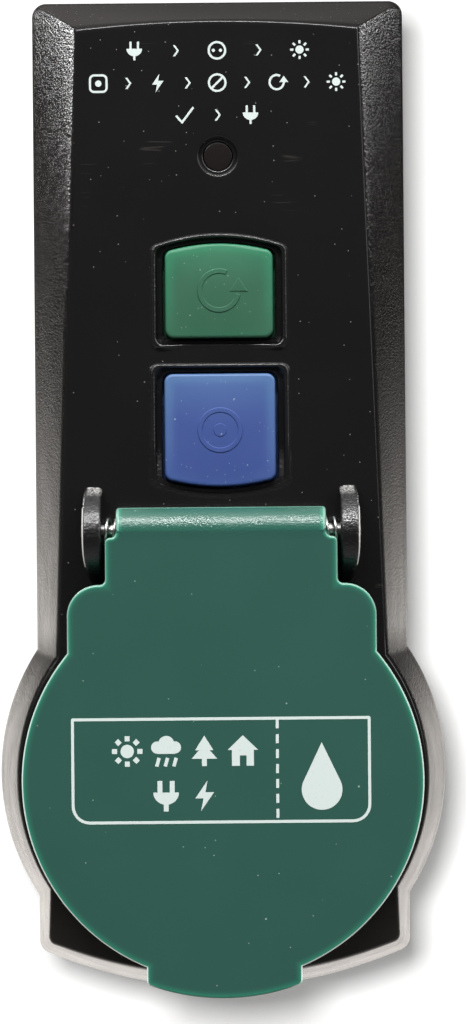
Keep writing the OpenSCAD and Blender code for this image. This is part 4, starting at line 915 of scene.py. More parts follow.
plate_loop = cover_outline()
# The third number of each level is the rim value that the finish turns into painted glow and, near the edge,
# a painted highlight line.
plate_levels = [
    (COVER_FRONT, COVER_EDGE + COVER_RING * (1 - share), PLATE_RIM * share)
    for share in np.linspace(0, 1, PLATE_STEPS)[:-1]
]
plate_levels += [
    (COVER_FRONT - travel, COVER_EDGE - rise, mix(PLATE_RIM, 1, (rise / COVER_EDGE) ** RIM_POWER))
    for travel, rise in quarter(COVER_EDGE, 7)
]
plate_levels += [(COVER_FRONT - COVER_EDGE - COVER_WALL, 0, WALL_RIM), (COVER_BACK, 0, WALL_RIM)]
plate_levels += [(COVER_BACK, COVER_RING, PLATE_RIM)]
cover = Skin()
plate_rows = np.stack([place(*drawn_in(plate_loop, inset).T, d) for d, inset, _ in plate_levels])
plate_open = 1 - smoothstep((plate_loop[:, 1] - NECK_UP - RIM_END) / RIM_END)
plate_rim = np.stack([rim * plate_open for *_, rim in plate_levels])
cover.grid(plate_rows, 0, plate_rim)
for d, inset, _ in (plate_levels[0], plate_levels[-1]):
    cover.sheet([drawn_in(plate_loop, inset)], lambda flat, d=d: place(*flat.T, d))
print("cover outline:", len(plate_loop), "points")

# %% Skirt and knuckle of the cover
SKIRT_LOW, SKIRT_IN, SKIRT_EDGE, SKIRT_BITE, SKIRT_RIM = 42.2, 24.7, 0.5, 0.6, 0.35
PIN_HOLE_R, POCKET_R, POCKET_END, POCKET_EDGE = 0.98, 2.25, 4.0, 0.2
KNUCKLE_EDGE, BARREL_IN = 0.45, 1.0
SKIRT_STEPS, BARREL_STEPS, BARREL_RUN = 160, 96, 9
TOP_RIM, TOP_FROM, TOP_SOFT = 0.85, 0.93, 0.06
MIDDLE_RIM, END_RIM, END_FROM = 0.2, 0.65, 13.4


def turned(profile, n, put):
    """Surface of a closed (radius, place) profile turned about an axis; put gives the points."""
    a = np.linspace(0, 2 * math.pi, n, endpoint=False)
    r, along = (column[:, None] for column in np.asarray(profile).T)
    return put(r * np.cos(a), r * np.sin(a), along)


def about_hinge(u, v, x):
    """Turned about the hinge: along is x."""
    return place(x, HINGE_UP + u, HINGE_D + v)


skirt_turn = quarter(SKIRT_EDGE, 4)
bite_r, bite_d = COVER_R - SKIRT_BITE, COVER_BACK + SKIRT_BITE
skirt = [(COVER_R, COVER_BACK)]
skirt += [(COVER_R - travel, SKIRT_LOW + SKIRT_EDGE - rise) for travel, rise in skirt_turn]
skirt += [(SKIRT_IN + SKIRT_EDGE - rise, SKIRT_LOW + travel) for travel, rise in skirt_turn]
skirt += [(SKIRT_IN, bite_d), (bite_r, bite_d), (bite_r, COVER_BACK), (COVER_R, COVER_BACK)]
cover.grid(turned(skirt, SKIRT_STEPS, place), 0, SKIRT_RIM)

half_barrel = [(PIN_HOLE_R, 0), (PIN_HOLE_R, POCKET_END), (POCKET_R, POCKET_END)]
half_barrel += [(POCKET_R, KNUCKLE_HALF - POCKET_EDGE), (POCKET_R + POCKET_EDGE, KNUCKLE_HALF)]
half_barrel += [
    (KNUCKLE_R - KNUCKLE_EDGE + rise, KNUCKLE_HALF - travel) for travel, rise in quarter(KNUCKLE_EDGE, 5)
]
barrel_to = KNUCKLE_HALF - BARREL_IN
barrel = half_barrel + [(KNUCKLE_R, x) for x in np.linspace(barrel_to, -barrel_to, BARREL_RUN)]
barrel += [(r, -x) for r, x in half_barrel[::-1]]
# The barrel's top and its ends take higher rim values, which paint a highlight line and glow there.
upwards = np.cos(np.linspace(0, 2 * math.pi, BARREL_STEPS, endpoint=False))
top_rim = TOP_RIM * smoothstep((upwards - TOP_FROM) / TOP_SOFT)
end_rim = MIDDLE_RIM + END_RIM * smoothstep(np.abs([x for _, x in barrel]) - END_FROM)
cover.grid(turned(barrel, BARREL_STEPS, about_hinge), 0, np.maximum(end_rim[:, None], top_rim))

cover_piece = cover.piece("socket_cover_shell", [cover_finish])
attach(cover_piece, "flip_cover")
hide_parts("socket_cover")

# %% [markdown]
# ## Print
# Pale ink on the cover and at the top of the face: rows of plain pictograms, and on the cover a thin
# frame with a dashed divider and a drop. Ink could be painted by a material, but a film of it, a few
# hundredths of a millimetre thick and cut from flat loops, stays crisp from near by.

# %% Print finish and film
INK, INK_WORN = srgb(184, 194, 191), srgb(140, 156, 150)
INK_T, INK_STEP, INK_SINK, INK_LAYERS = 0.03, 0.002, 0.02, 8
WORN_ACROSS, WORN_FROM, WORN_MOST = 0.5, (0.55, 0.8), 0.35
INK_ROUGH, INK_ROUGHER = 0.5, 0.1
CIRCLE_STEPS, DOT_STEPS, ARC_STEPS, BOX_STEPS, LEAST_ROUND = 48, 32, 32, 8, 0.02


def printed_ink(finish):
    """Matt ink, worn thin in small patches."""
    worn = finish.noise(WORN_ACROSS, 3.0, 0.6)
    return {
        "Base Color": finish.blend(worn.ramp(*WORN_FROM) * WORN_MOST, INK, INK_WORN),
        "Roughness": INK_ROUGH + worn * INK_ROUGHER,
    }


ink = finish_of("print_ink", printed_ink)


def film(skin, shape, front_d, thick):
    """Prism of ink: a list of loops, the first one the outside and the others holes."""
    low, high = front_d - INK_SINK, front_d + thick
    for loop in shape:
        skin.grid(np.stack([place(*loop.T, low), place(*loop.T, high)]))
    for d in (low, high):
        skin.sheet(shape, lambda flat, d=d: place(*flat.T, d))


def ring(cx, cy, r, line):
    """Circle drawn with a line."""
    at = circle(cx, cy, CIRCLE_STEPS)
    return [at(r + line / 2), at(r - line / 2)]


def disc(cx, cy, r):
    """Filled circle."""
    return [circle(cx, cy, DOT_STEPS)(r)]


def bar(x0, y0, x1, y1, line):
    """Straight stroke with square ends."""
    a, b = np.array([x0, y0], float), np.array([x1, y1], float)
    along = (b - a) / np.linalg.norm(b - a) * line / 2
    across = np.array([-along[1], along[0]])
    return [np.array([a - across, b - across, b + across, a + across])]


def arc_stroke(cx, cy, r, line, start, end):
    """Part of a ring between two angles in degrees."""
    turn = compass(np.radians(np.linspace(start, end, ARC_STEPS)))
    return [np.concatenate([(r + line / 2) * turn, ((r - line / 2) * turn)[::-1]]) + [cx, cy]]


def box_line(cx, cy, w, h, radii, line):
    """Frame drawn with a line."""
    return [
        rounded_box(cx, cy, w + way, h + way, [max(r + way / 2, LEAST_ROUND) for r in radii], BOX_STEPS)
        for way in (line, -line)
    ]


def drop(cx, cy, w, h):
    """Falling drop: a circle and the two tangents that meet at its tip."""
    r = w / 2
    reach = math.acos(r / (h - r))
    a = np.linspace(math.pi / 2 + reach, 5 * math.pi / 2 - reach, CIRCLE_STEPS)
    return [np.concatenate([[cx, cy - h / 2 + r] + r * compass(a), [[cx, cy + h / 2]]])]


def cut(points, cx, cy, h):
    """Polygon from its points in shares of its height."""
    return [np.array(points) * h + [cx, cy]]


# %% Pictograms
def socket_sign(cx, cy, h, line):
    """Socket: a ring with its two holes."""
    holes = [disc(cx + s * h * 0.19, cy, h * 0.09) for s in (-1, 1)]
    return [ring(cx, cy, (h - line) / 2, line)] + holes


def plug_sign(cx, cy, h, line):
    """Plug: two pins, a half-round body and its stem."""
    body = cut([0, 0.12] + [0.42, 0.4] * compass(np.linspace(math.pi, 2 * math.pi, 24)), cx, cy, h)
    pins = [bar(x, cy + 0.1 * h, x, cy + 0.5 * h, line) for x in (cx - 0.2 * h, cx + 0.2 * h)]
    return [body, bar(cx, cy - 0.26 * h, cx, cy - 0.5 * h, line)] + pins


def sun_sign(cx, cy, h, line):
    """Light: a disc with eight rays."""
    ways = compass(np.linspace(0, 2 * math.pi, 8, endpoint=False)) * h
    rays = [bar(*([cx, cy] + 0.33 * way), *([cx, cy] + 0.5 * way), line) for way in ways]
    return [disc(cx, cy, 0.22 * h)] + rays


def off_sign(cx, cy, h, line):
    """Lamp off: a ring with a stroke across it."""
    r = (h - line) / 2
    s = (r - line / 2) * math.sqrt(0.5)
    return [ring(cx, cy, r, line), bar(cx - s, cy - s, cx + s, cy + s, line)]


def press_sign(cx, cy, h, line):
    """Button to press: a rounded square with a dot."""
    return [box_line(cx, cy, h - line, h - line, [h * 0.22] * 4, line), disc(cx, cy, 0.17 * h)]


def again_sign(cx, cy, h, line):
    """Set again: most of a ring that ends in an arrow head."""
    r = 0.38 * h
    head = cut([[-0.24, 0], [0.24, 0], [0, 0.34]], cx + r, cy, h)
    return [arc_stroke(cx, cy, r, line, 60, 362), head]


def tick_sign(cx, cy, h, line):
    """In order: a tick."""
    return [
        bar(cx - 0.45 * h, cy - 0.02 * h, cx - 0.12 * h, cy - 0.4 * h, line),
        bar(cx - 0.16 * h, cy - 0.42 * h, cx + 0.48 * h, cy + 0.42 * h, line),
    ]


def next_sign(cx, cy, h, line):
    """Then: a small chevron."""
    h = 0.6 * h
    thick = line / h
    back = [[-0.25, 0.5], [0.3 - thick, 0]]
    return [cut([[-0.25, -0.5], [thick - 0.25, -0.5], [0.3, 0], [thick - 0.25, 0.5]] + back, cx, cy, h)]


def cloud_sign(cx, cy, h, line):
    """Weather: three discs on a bar, with rain below."""
    rounds = ((-0.28, 0.12, 0.2), (0.02, 0.24, 0.26), (0.3, 0.12, 0.2))
    puffs = [disc(cx + x * h, cy + y * h, r * h) for x, y, r in rounds]
    base = bar(cx - 0.28 * h, cy + 0.02 * h, cx + 0.3 * h, cy + 0.02 * h, 0.22 * h)
    rain = [
        bar(cx + x * h, cy - 0.22 * h, cx + (x - 0.08) * h, cy - 0.5 * h, line * 0.7)
        for x in (-0.22, 0.06, 0.34)
    ]
    return puffs + [base] + rain


def tree_sign(cx, cy, h, line):
    """Garden: two stacked triangles on a trunk."""
    tiers = ((0.42, -0.26), (0.3, 0.02))
    crowns = [cut([[-w, y], [w, y], [0, y + 0.48]], cx, cy, h) for w, y in tiers]
    return crowns + [bar(cx, cy - 0.5 * h, cx, cy - 0.24 * h, line)]


def house_sign(cx, cy, h, line):
    """Building: a roof on a box, with a door left open."""
    door = [[-0.1, -0.5], [-0.1, -0.16], [0.12, -0.16], [0.12, -0.5]]
    roof = [[0.36, 0.02], [0.5, 0.02], [0, 0.5], [-0.5, 0.02], [-0.36, 0.02]]
    return [cut([[-0.36, -0.5]] + door + [[0.36, -0.5]] + roof, cx, cy, h)]


def bolt_sign(cx, cy, h, line):
    """Current: a plain zigzag flash."""
    down = [[0.15, 0.5], [-0.5, -0.08], [-0.06, -0.08]]
    return [cut(down + [[-0.2, -0.5], [0.5, 0.12], [0.04, 0.12]], cx, cy, np.array([0.62, 1]) * h)]


def row(signs, cx, cy, pitch, h, line):
    """Signs in a row about a middle."""
    at = cx + pitch * (np.arange(len(signs)) - (len(signs) - 1) / 2)
    return [shape for sign, x in zip(signs, at) for shape in sign(x, cy, h, line)]


def printed(name, shapes, front_d, body):
    """One piece of print from all its shapes, whose films differ by microns where they overlap."""
    skin = Skin()
    for i, shape in enumerate(shapes):
        film(skin, shape, front_d, INK_T + INK_STEP * (i % INK_LAYERS))
    made = skin.piece(name, [ink])
    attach(made, body)


# %% Print on the cover
LABEL_AT, LABEL_W, LABEL_H, LABEL_LINE = (-0.25, 1.5), 40.8, 14.2, 0.4
LABEL_ROUNDS = (2.3, 0.05, 0.05, 2.3)
DIVIDER_X, DASH, DASH_GAP, DASH_FROM = 7.5, 1.25, 0.8, 0.5
DROP_AT, DROP_W, DROP_H = (13.6, 0.6), 5.6, 9.3
SIGNS_X, SIGNS_UP, SIGN_PITCH, SIGN_H, SIGN_LINE = -5.2, (4.2, -2.0), 5.3, 4.2, 0.68

cover_marks = [box_line(*LABEL_AT, LABEL_W, LABEL_H, LABEL_ROUNDS, LABEL_LINE)]
label_low, label_top = LABEL_AT[1] - LABEL_H / 2, LABEL_AT[1] + LABEL_H / 2
dash_ups = np.arange(label_low + DASH_FROM, label_top - DASH, DASH + DASH_GAP)
cover_marks += [bar(DIVIDER_X, up, DIVIDER_X, up + DASH, LABEL_LINE) for up in dash_ups]
cover_marks += [drop(*DROP_AT, DROP_W, DROP_H)]
outdoors = [sun_sign, cloud_sign, tree_sign, house_sign]
cover_marks += row(outdoors, SIGNS_X, SIGNS_UP[0], SIGN_PITCH, SIGN_H, SIGN_LINE)
cover_marks += row([plug_sign, bolt_sign], SIGNS_X, SIGNS_UP[1], SIGN_PITCH, SIGN_H, SIGN_LINE)
printed("cover_print", cover_marks, COVER_FRONT, "flip_cover")

# %% Print on the face
NOTE_H, NOTE_LINE = 2.6, 0.3


def steps(*signs):
    """Signs with a chevron between each two."""
    return [next_sign if i % 2 else signs[i // 2] for i in range(2 * len(signs) - 1)]


notes = [
    (steps(plug_sign, socket_sign, sun_sign), 101.3, 5.75),
    (steps(press_sign, bolt_sign, off_sign, again_sign, sun_sign), 96.8, 4.14),
    (steps(tick_sign, plug_sign), 92.3, 4.6),
]
face_marks = []
for signs, up, pitch in notes:
    face_marks += row(signs, 0, up, pitch, NOTE_H, NOTE_LINE)
printed("face_print", face_marks, FACE_D, "casing")

# %% [markdown]
# ## Soft buttons
# Two elastomer buttons with a low crown, rounded shoulders and a flange behind the face. Their
# thin shoulders glow a little, and that glow is painted: the rim value lightens them, more towards
# the top, and the upper end is painted paler as light from above shows it. Dust clings to
# elastomer, so specks are denser here. A raised pictogram stands on each crown.

# %% Finish of the buttons
BUTTON_IOR = 1.45
BUTTON_DUST, BUTTON_SPECKS, BUTTON_FLECKS = srgb(165, 182, 180), (0.6, 0.12, 0.3), (1.6, 0.08, 0.5)
# Painted light: the shoulders and the upper end are lightened towards the glow colour.
SHOULDER_PAINTED_GLOW, SHOULDER_GLOW_ABOVE, TOP_PAINTED_LIGHT = 0.1, 0.45, 0.5
SOFT_ROUGH, SOFT_CLOUD, SOFT_ACROSS = 0.42, 0.12, 2.0
SOFT_GRAIN, SOFT_DEEP = 0.5, 0.008


def elastomer(body, glow, low_up, high_up):
    """Soft plastic with painted light: paler at its shoulders and towards its upper end."""

    def recipe(finish):
        up = finish.axis("Z")
        rim = finish.rim() * (SHOULDER_PAINTED_GLOW + up.ramp(2 * low_up - high_up, low_up) * SHOULDER_GLOW_ABOVE)
        pale = (rim + up.ramp(low_up, high_up) * TOP_PAINTED_LIGHT).math("MINIMUM", 1.0)
        dust = finish.specks(*BUTTON_SPECKS) + finish.specks(*BUTTON_FLECKS)
        return {
            "Base Color": finish.blend(dust * DUST_COVER, finish.blend(pale, body, glow), BUTTON_DUST),
            "Roughness": SOFT_ROUGH + finish.noise(SOFT_ACROSS, 2.0) * SOFT_CLOUD,
            "Normal": finish.bump(finish.noise(SOFT_GRAIN, 2.0), SOFT_DEEP),
        }

    return recipe


reset_recipe = elastomer(srgb(37, 81, 60), srgb(37, 107, 77), RESET_UP, RESET_UP + RESET_H / 2)
test_recipe = elastomer(srgb(47, 66, 122), srgb(67, 97, 139), TEST_UP, TEST_UP + TEST_H / 2)
reset_finish = finish_of("reset_green", reset_recipe, ior=BUTTON_IOR)
test_finish = finish_of("test_blue", test_recipe, ior=BUTTON_IOR)

# %% Buttons
CROWN_D, BUTTON_BACK_D, BUTTON_FLOOR, BUTTON_FLANGE, BUTTON_RING = 41.3, 35.5, 2.0, 1.5, 0.5
SHOULDER_IN, SHOULDER_DEEP, CROWN_RISE, GLOW_SHARE = 0.4, 0.4, 0.25, 0.2
CROWN_STEPS, CAP_STEPS = 14, 8
SIGN_D, SIGN_RISE, SIGN_EDGE, SIGN_SINK = CROWN_D - 0.08, 0.16, 0.14, 0.5
RAISED_LINE, RESET_SIGN_R, TEST_SIGN_R, TEST_DOT_R = 0.8, 2.7, 2.8, 1.0
RESET_SIGN_ARC, RESET_HEAD = (66, 350), [[-1.4, -0.2], [1.4, -0.2], [0, 1.9]]


def soft_button(name, outline, finish, body):
    """Cap from its flange to its crown: shoulder as a quarter ellipse, crown as (1 - u^2)(1 - v^2)
    of the places u and v across it."""
    skin = Skin()
    flange_d = BUTTON_BACK_D + BUTTON_FLOOR
    shoulder_d = CROWN_D - CROWN_RISE
    levels = [(BUTTON_BACK_D, BUTTON_FLANGE - BUTTON_RING), (BUTTON_BACK_D, BUTTON_FLANGE)]
    levels += [(flange_d, BUTTON_FLANGE), (flange_d, 0.0)]
    levels += [
        (shoulder_d + SHOULDER_DEEP * (rise - 1), -SHOULDER_IN * travel)
        for travel, rise in quarter(1.0, CAP_STEPS)
    ]
    # Rim values carry the painted glow of the shoulders and the crown's edge.
    rims = [0, 0, 0, 1] + [1.0] * CAP_STEPS
    rows = stack(outline, levels)
    shares = 1 - np.linspace(0, 1, CROWN_STEPS) ** 2
    edge = outline(-SHOULDER_IN)
    middle, half = (edge.max(0) + edge.min(0)) / 2, (edge.max(0) - edge.min(0)) / 2
    loops = middle + (edge - middle) * shares[1:, None, None]
    rise = CROWN_RISE * np.prod(1 - ((loops - middle) / half) ** 2, -1)
    crown = place(loops[..., 0], loops[..., 1], shoulder_d + rise)
    rims += smoothstep(1 - (1 - shares[1:]) / GLOW_SHARE).tolist()
    grid = np.concatenate([rows, crown])
    skin.grid(grid, 0, np.repeat(rims, grid.shape[1]))
    skin.sheet([outline(levels[0][1])], lambda flat: place(*flat.T, BUTTON_BACK_D))
    made = skin.piece(name, [finish])
    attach(made, body)
    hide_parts(name.replace("_cap", "_button"))
    return made


def raised_sign(name, shapes, finish, body):
    """Raised marks on a crown, as prisms with bevelled tops and the button's own finish."""
    skin = Skin()
    foot_d, top_d = SIGN_D - SIGN_SINK, SIGN_D + SIGN_RISE
    levels = [(foot_d, 0), (top_d - SIGN_EDGE, 0), (top_d, SIGN_EDGE)]
    for shape in shapes:
        ways = [1] + [-1] * (len(shape) - 1)
        for loop, way in zip(shape, ways):
            skin.grid(stack(lambda inset: drawn_in(loop, way * inset), levels))
        upper = [drawn_in(loop, way * SIGN_EDGE) for loop, way in zip(shape, ways)]
        skin.sheet(shape, lambda flat: place(*flat.T, foot_d))
        skin.sheet(upper, lambda flat: place(*flat.T, top_d))
    made = skin.piece(name, [finish])
    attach(made, body)


reset_plain = button_outline(RESET_W, RESET_H, RESET_UP, 1)
test_plain = button_outline(TEST_W, TEST_H, TEST_UP, -1)
reset_cap = soft_button("reset_cap", reset_plain, reset_finish, "reset")
test_cap = soft_button("test_cap", test_plain, test_finish, "test")
reset_arc = arc_stroke(0, RESET_UP, RESET_SIGN_R, RAISED_LINE, *RESET_SIGN_ARC)
reset_sign = [reset_arc, cut(RESET_HEAD, RESET_SIGN_R, RESET_UP, 1)]
test_sign = [ring(0, TEST_UP, TEST_SIGN_R, RAISED_LINE), disc(0, TEST_UP, TEST_DOT_R)]
raised_sign("reset_sign", reset_sign, reset_finish, "reset")
raised_sign("test_sign", test_sign, test_finish, "test")

# %% [markdown]
# ## Indicator lens
# A dark red lens with a low dome, deep in its ring, shown unlit. It is round, so one profile turned
# about its axis gives the flange, the wall and the dome.

# %% Indicator lens
LENS_IOR, LENS_DARK, LENS_DARKER = 1.5, srgb(27, 22, 22), srgb(18, 15, 15)
LENS_CLOUD, LENS_ROUGH, LENS_SMEAR = 0.5, 0.16, 0.05
LENS_FLANGE_R, LENS_FLANGE_T, LENS_BACK_D = 2.95, 1.45, 36.05
LENS_EDGE_D, LENS_DOME, DOME_STEPS = 39.1, 0.1, 8


def dark_lens(finish):
    """Dark glossy plastic with a faint cloud."""
    return {
        "Base Color": finish.blend(finish.noise(0.8, 1.0) * LENS_CLOUD, LENS_DARK, LENS_DARKER),
        "Roughness": LENS_ROUGH + finish.noise(1.0, 2.0) * LENS_SMEAR,
    }


lens_finish = finish_of("lens_red", dark_lens, ior=LENS_IOR)
lens_flange_d = LENS_BACK_D + LENS_FLANGE_T
dome = [0, LENS_EDGE_D] + [LENS_R, LENS_DOME] * compass(np.linspace(0, math.pi / 2, DOME_STEPS))
lens_profile = [(0, LENS_BACK_D), (LENS_FLANGE_R, LENS_BACK_D), (LENS_FLANGE_R, lens_flange_d)]
lens_profile += [(LENS_R, lens_flange_d)] + dome.tolist()
lens = Skin()
lens.grid(turned(lens_profile, 48, lambda u, v, d: place(u, LENS_UP + v, d)))
lens = lens.piece("indicator_lens_dome", [lens_finish])
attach(lens, "casing")
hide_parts("indicator_lens")

# %% [markdown]
# ## Springs
# Each spring is a wire carried along a helix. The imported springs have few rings, so each is drawn
# again with the same size, pitch and ends and a rounder wire.

# %% Springs
SPRING_GREY, SPRING_ROUGH, SPRING_GRAIN = srgb(190, 190, 188), 0.22, 0.3
STEEL_DULL, STEEL_ROUGHER, STEEL_DRAWN = 0.8, 0.15, (0.2, 1.0, 1.0)
WIRE_SIDES, COIL_STEPS, LEAD_STEPS, LEG_STEPS = 10, 24, 4, 8
ACROSS_WIRES = np.array([0.31, 0.42, 0.85])


def wire(path, r):
    """Tube along a path: each ring lies in the plane across the path's own direction."""
    ahead = np.gradient(path, axis=0)
    ahead /= np.linalg.norm(ahead, axis=1, keepdims=True)
    side = np.cross(ahead, ACROSS_WIRES)
    side /= np.linalg.norm(side, axis=1, keepdims=True)
    up = np.cross(ahead, side)
    a = np.linspace(0, 2 * math.pi, WIRE_SIDES, endpoint=False)[:, None]
    return path[:, None] + r * (np.cos(a) * side[:, None] + np.sin(a) * up[:, None])


def helix(r, pitch, turns, lead, leg):
    """Helix about z from +x: a straight lead along its tangent, the turns, and a straight leg."""
    a = np.linspace(0, 2 * math.pi * turns, int(turns * COIL_STEPS) + 1)
    coil = np.stack([r * np.cos(a), r * np.sin(a), pitch * a / (2 * math.pi)], -1)
    last = np.array([-math.sin(a[-1]), math.cos(a[-1]), 0])
    run_in = coil[0] - np.linspace(lead, 0, LEAD_STEPS)[:-1, None] * [0, 1, 0]
    run_out = coil[-1] + np.linspace(0, leg, LEG_STEPS)[1:, None] * last
    return np.concatenate([run_in, coil, run_out])


def steel(tone, rough, grain):
    """Drawn or plated steel: brushed grain in colour and roughness."""

    def recipe(finish):
        drawn = finish.node("ShaderNodeMapping", None, {"Vector": finish.place(), "Scale": STEEL_DRAWN})
        lines = finish.noise(grain, 3.0, 0.6, drawn)
        return {
            "Base Color": finish.blend(lines, [v * STEEL_DULL for v in tone], tone),
            "Roughness": rough + lines * STEEL_ROUGHER,
        }

    return recipe


spring_finish = finish_of("spring_steel", steel(SPRING_GREY, SPRING_ROUGH, SPRING_GRAIN), metallic=1.0)


def spring(name, path, r, turn, node):
    """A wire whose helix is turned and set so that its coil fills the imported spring's box."""
    low, high = (np.array(v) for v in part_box(node))
    skin = Skin()
    rings = wire(path, r) @ np.array(turn.to_3x3()).T * MM
    flat = rings.reshape(-1, 3)
    rings += (low + high) / 2 - (flat.min(0) + flat.max(0)) / 2
    ends = [np.broadcast_to(rings[i].mean(0), rings[i].shape)[None] for i in (0, -1)]
    skin.grid(np.concatenate([ends[0], rings, ends[1]]))
    made = skin.piece(name, [spring_finish])
    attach(made, "casing")
    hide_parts(node)
    return made


def squeezed(coil, node, joint):
    """Gives a coil a mesh of its own; the spring's box and the joint's axis are looked up but not applied.
    """
    low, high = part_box(node)
    axis = Vector(joints[joint]["axis"])
    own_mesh(coil)


def quarter_turn(axis, way=1):
    """Turn by 90 degrees about an axis."""
    return Matrix.Rotation(math.radians(90 * way), 4, axis)


# %% Springs in their places
HINGE_WIRE, HINGE_TURNS, COIL_R, COIL_FROM, HINGE_LEG, COIL_PLAY = 0.5, 10, 1.6, 4.65, 5.2, 0.1
COIL_TO = LUG_GAP / 2 - HINGE_WIRE / 2 - COIL_PLAY
BUTTON_COIL, RELAY_COIL, SHUTTER_COIL = (0.5, 3, 3.5), (0.5, 5, 3.75), (0.4, 3, 3.4)
DEEP, UP = 1, 2

out_of_face = quarter_turn("X")
upright = out_of_face @ quarter_turn("X", -1)
along_hinge = out_of_face @ quarter_turn("Y") @ quarter_turn("Z", -1)
mirror_x = Matrix.Scale(-1, 4, (1, 0, 0))
hinge_path = helix(COIL_R, (COIL_TO - COIL_FROM) / HINGE_TURNS, HINGE_TURNS, HINGE_WIRE, HINGE_LEG)
spring("hinge_coil_right", hinge_path, HINGE_WIRE / 2, along_hinge, "hinge_spring_right")
spring("hinge_coil_left", hinge_path, HINGE_WIRE / 2, mirror_x @ along_hinge, "hinge_spring_left")
for name, node, (thick, turns, r), turn, axis, joint in (
    ("reset_coil", "reset_spring", BUTTON_COIL, out_of_face, DEEP, "reset_press"),
    ("test_coil", "test_spring", BUTTON_COIL, out_of_face, DEEP, "test_press"),
    ("relay_coil", "relay_spring", RELAY_COIL, upright, UP, "contact_close"),
    ("shutter_coil", "shutter_spring", SHUTTER_COIL, out_of_face, DEEP, None),
):
    low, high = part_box(node)
    pitch = ((high[axis] - low[axis]) / MM - thick) / turns
    coil = spring(name, helix(r, pitch, turns, thick, thick), thick / 2, turn, node)
    if joint:
        squeezed(coil, node, joint)

# %% [markdown]
# ## Finishes of the other pieces
# Plug, pins, brass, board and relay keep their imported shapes. Three recipes serve them all, moulded
# plastic, brushed steel and pressed sheet metal, with a tone and a roughness for each slot.

# %% Finishes of the other pieces
PLASTIC_CLOUD, PLASTIC_SPREAD, PLASTIC_ROUGHER, PLASTIC_DEEP = 5.0, 0.15, 0.1, 0.02
TARNISH_ACROSS, TARNISH_FROM, TARNISH_ROUGHER = 3.5, (0.35, 0.75), 0.15
DRAWN_LINES, LINES_ROUGHER, LINES_DEEP = 0.25, 0.05, 0.004
PLASTICS = {
    "plug_black": ((26, 25, 24), 0.45, 0.3),
    "seal_rubber": ((30, 31, 32), 0.62, 0.3),
    "core_ferrite": ((62, 62, 62), 0.6, 0.3),
    "board_green": ((47, 93, 58), 0.3, 0.6),
    "chip_dark": ((40, 39, 38), 0.5, 0.3),
    "capacitor_blue": ((58, 74, 120), 0.3, 0.3),
    "absorber_blue": ((45, 111, 143), 0.35, 0.3),
    "lamp_red": ((176, 74, 66), 0.15, 0.3),
    "frame_cream": ((217, 210, 194), 0.45, 0.3),
}
STEELS = {
    "screw_steel": ((205, 205, 202), 0.24, 0.4),
    "yoke_steel": ((150, 152, 155), 0.38, 0.5),
    "pin_nickel": ((222, 216, 205), 0.18, 0.6),
}
SHEET_METALS = {
    "earth_brass": ((208, 172, 96), (160, 124, 62), 0.24),
    "strip_copper": ((196, 124, 84), (140, 82, 56), 0.28),
}


def plain_plastic(tone, rough, grain):
    """Moulded plastic with a fine matt grain and slight clouding."""
    dark = [v * (1 - PLASTIC_SPREAD) for v in tone]
    pale = [min(v * (1 + PLASTIC_SPREAD), 1.0) for v in tone]

    def recipe(finish):
        cloud = finish.noise(PLASTIC_CLOUD, 3.0)
        return {
            "Base Color": finish.blend(cloud, dark, pale),
            "Roughness": rough + cloud * PLASTIC_ROUGHER,
            "Normal": finish.bump(finish.noise(grain, 1.0), PLASTIC_DEEP),
        }

    return recipe


def pressed_metal(tone, dull, rough):
    """Pressed sheet or bar: tarnish in soft patches and fine drawn lines."""

    def recipe(finish):
        tarnish = finish.noise(TARNISH_ACROSS, 4.0, 0.6)
        lines = finish.noise(DRAWN_LINES, 2.0)
        return {
            "Base Color": finish.blend(tarnish.ramp(*TARNISH_FROM), tone, dull),
            "Roughness": rough + tarnish * TARNISH_ROUGHER + lines * LINES_ROUGHER,
            "Normal": finish.bump(lines, LINES_DEEP),
        }

    return recipe


finishes = {
    "casing_black": casing_fine,
    "spring_steel": spring_finish,
    "lens_red": lens_finish,
    "reset_green": reset_finish,
    "test_blue": test_finish,
    "cover_green": cover_finish,
}
for name, (tone, rough, grain) in PLASTICS.items():
    finishes[name] = finish_of(name, plain_plastic(srgb(*tone), rough, grain))
for name, (tone, rough, grain) in STEELS.items():
    finishes[name] = finish_of(name, steel(srgb(*tone), rough, grain), metallic=1.0)
for name, (tone, dull, rough) in SHEET_METALS.items():
    finishes[name] = finish_of(name, pressed_metal(srgb(*tone), srgb(*dull), rough), metallic=1.0)
for entry in record["subparts"]:
    mesh = nodes[entry["node"]].data
    mesh.materials.clear()
    mesh.materials.append(finishes[entry["material_slot"]])
print("finishes on", len(record["subparts"]), "CAD nodes")

# %% [markdown]
# ## Rounded copies
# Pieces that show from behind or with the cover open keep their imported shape, but a machined edge
# looks harder than a moulded one. A merged copy takes their place: flat faces are joined up again
# and a small bevel rounds every hard edge.

# %% Rounded copies
HARD_EDGE, BEVEL_SEGMENTS, FLAT_WITHIN = math.radians(35), 2, math.radians(0.4)
SOFT_EDGES = {
    "rear_casing": 0.25,
    "plug_body": 0.5,
    "socket_cup": 0.25,
    "plug_earth_strips": 0.12,
    "earth_clip": 0.12,
    "casing_screws": 0.2,
    "cover_gasket": 0.3,
    "hinge_pin": 0.15,
    "live_pin": 0.1,
    "neutral_pin": 0.1,
    "shutter_disc": 0.15,
}


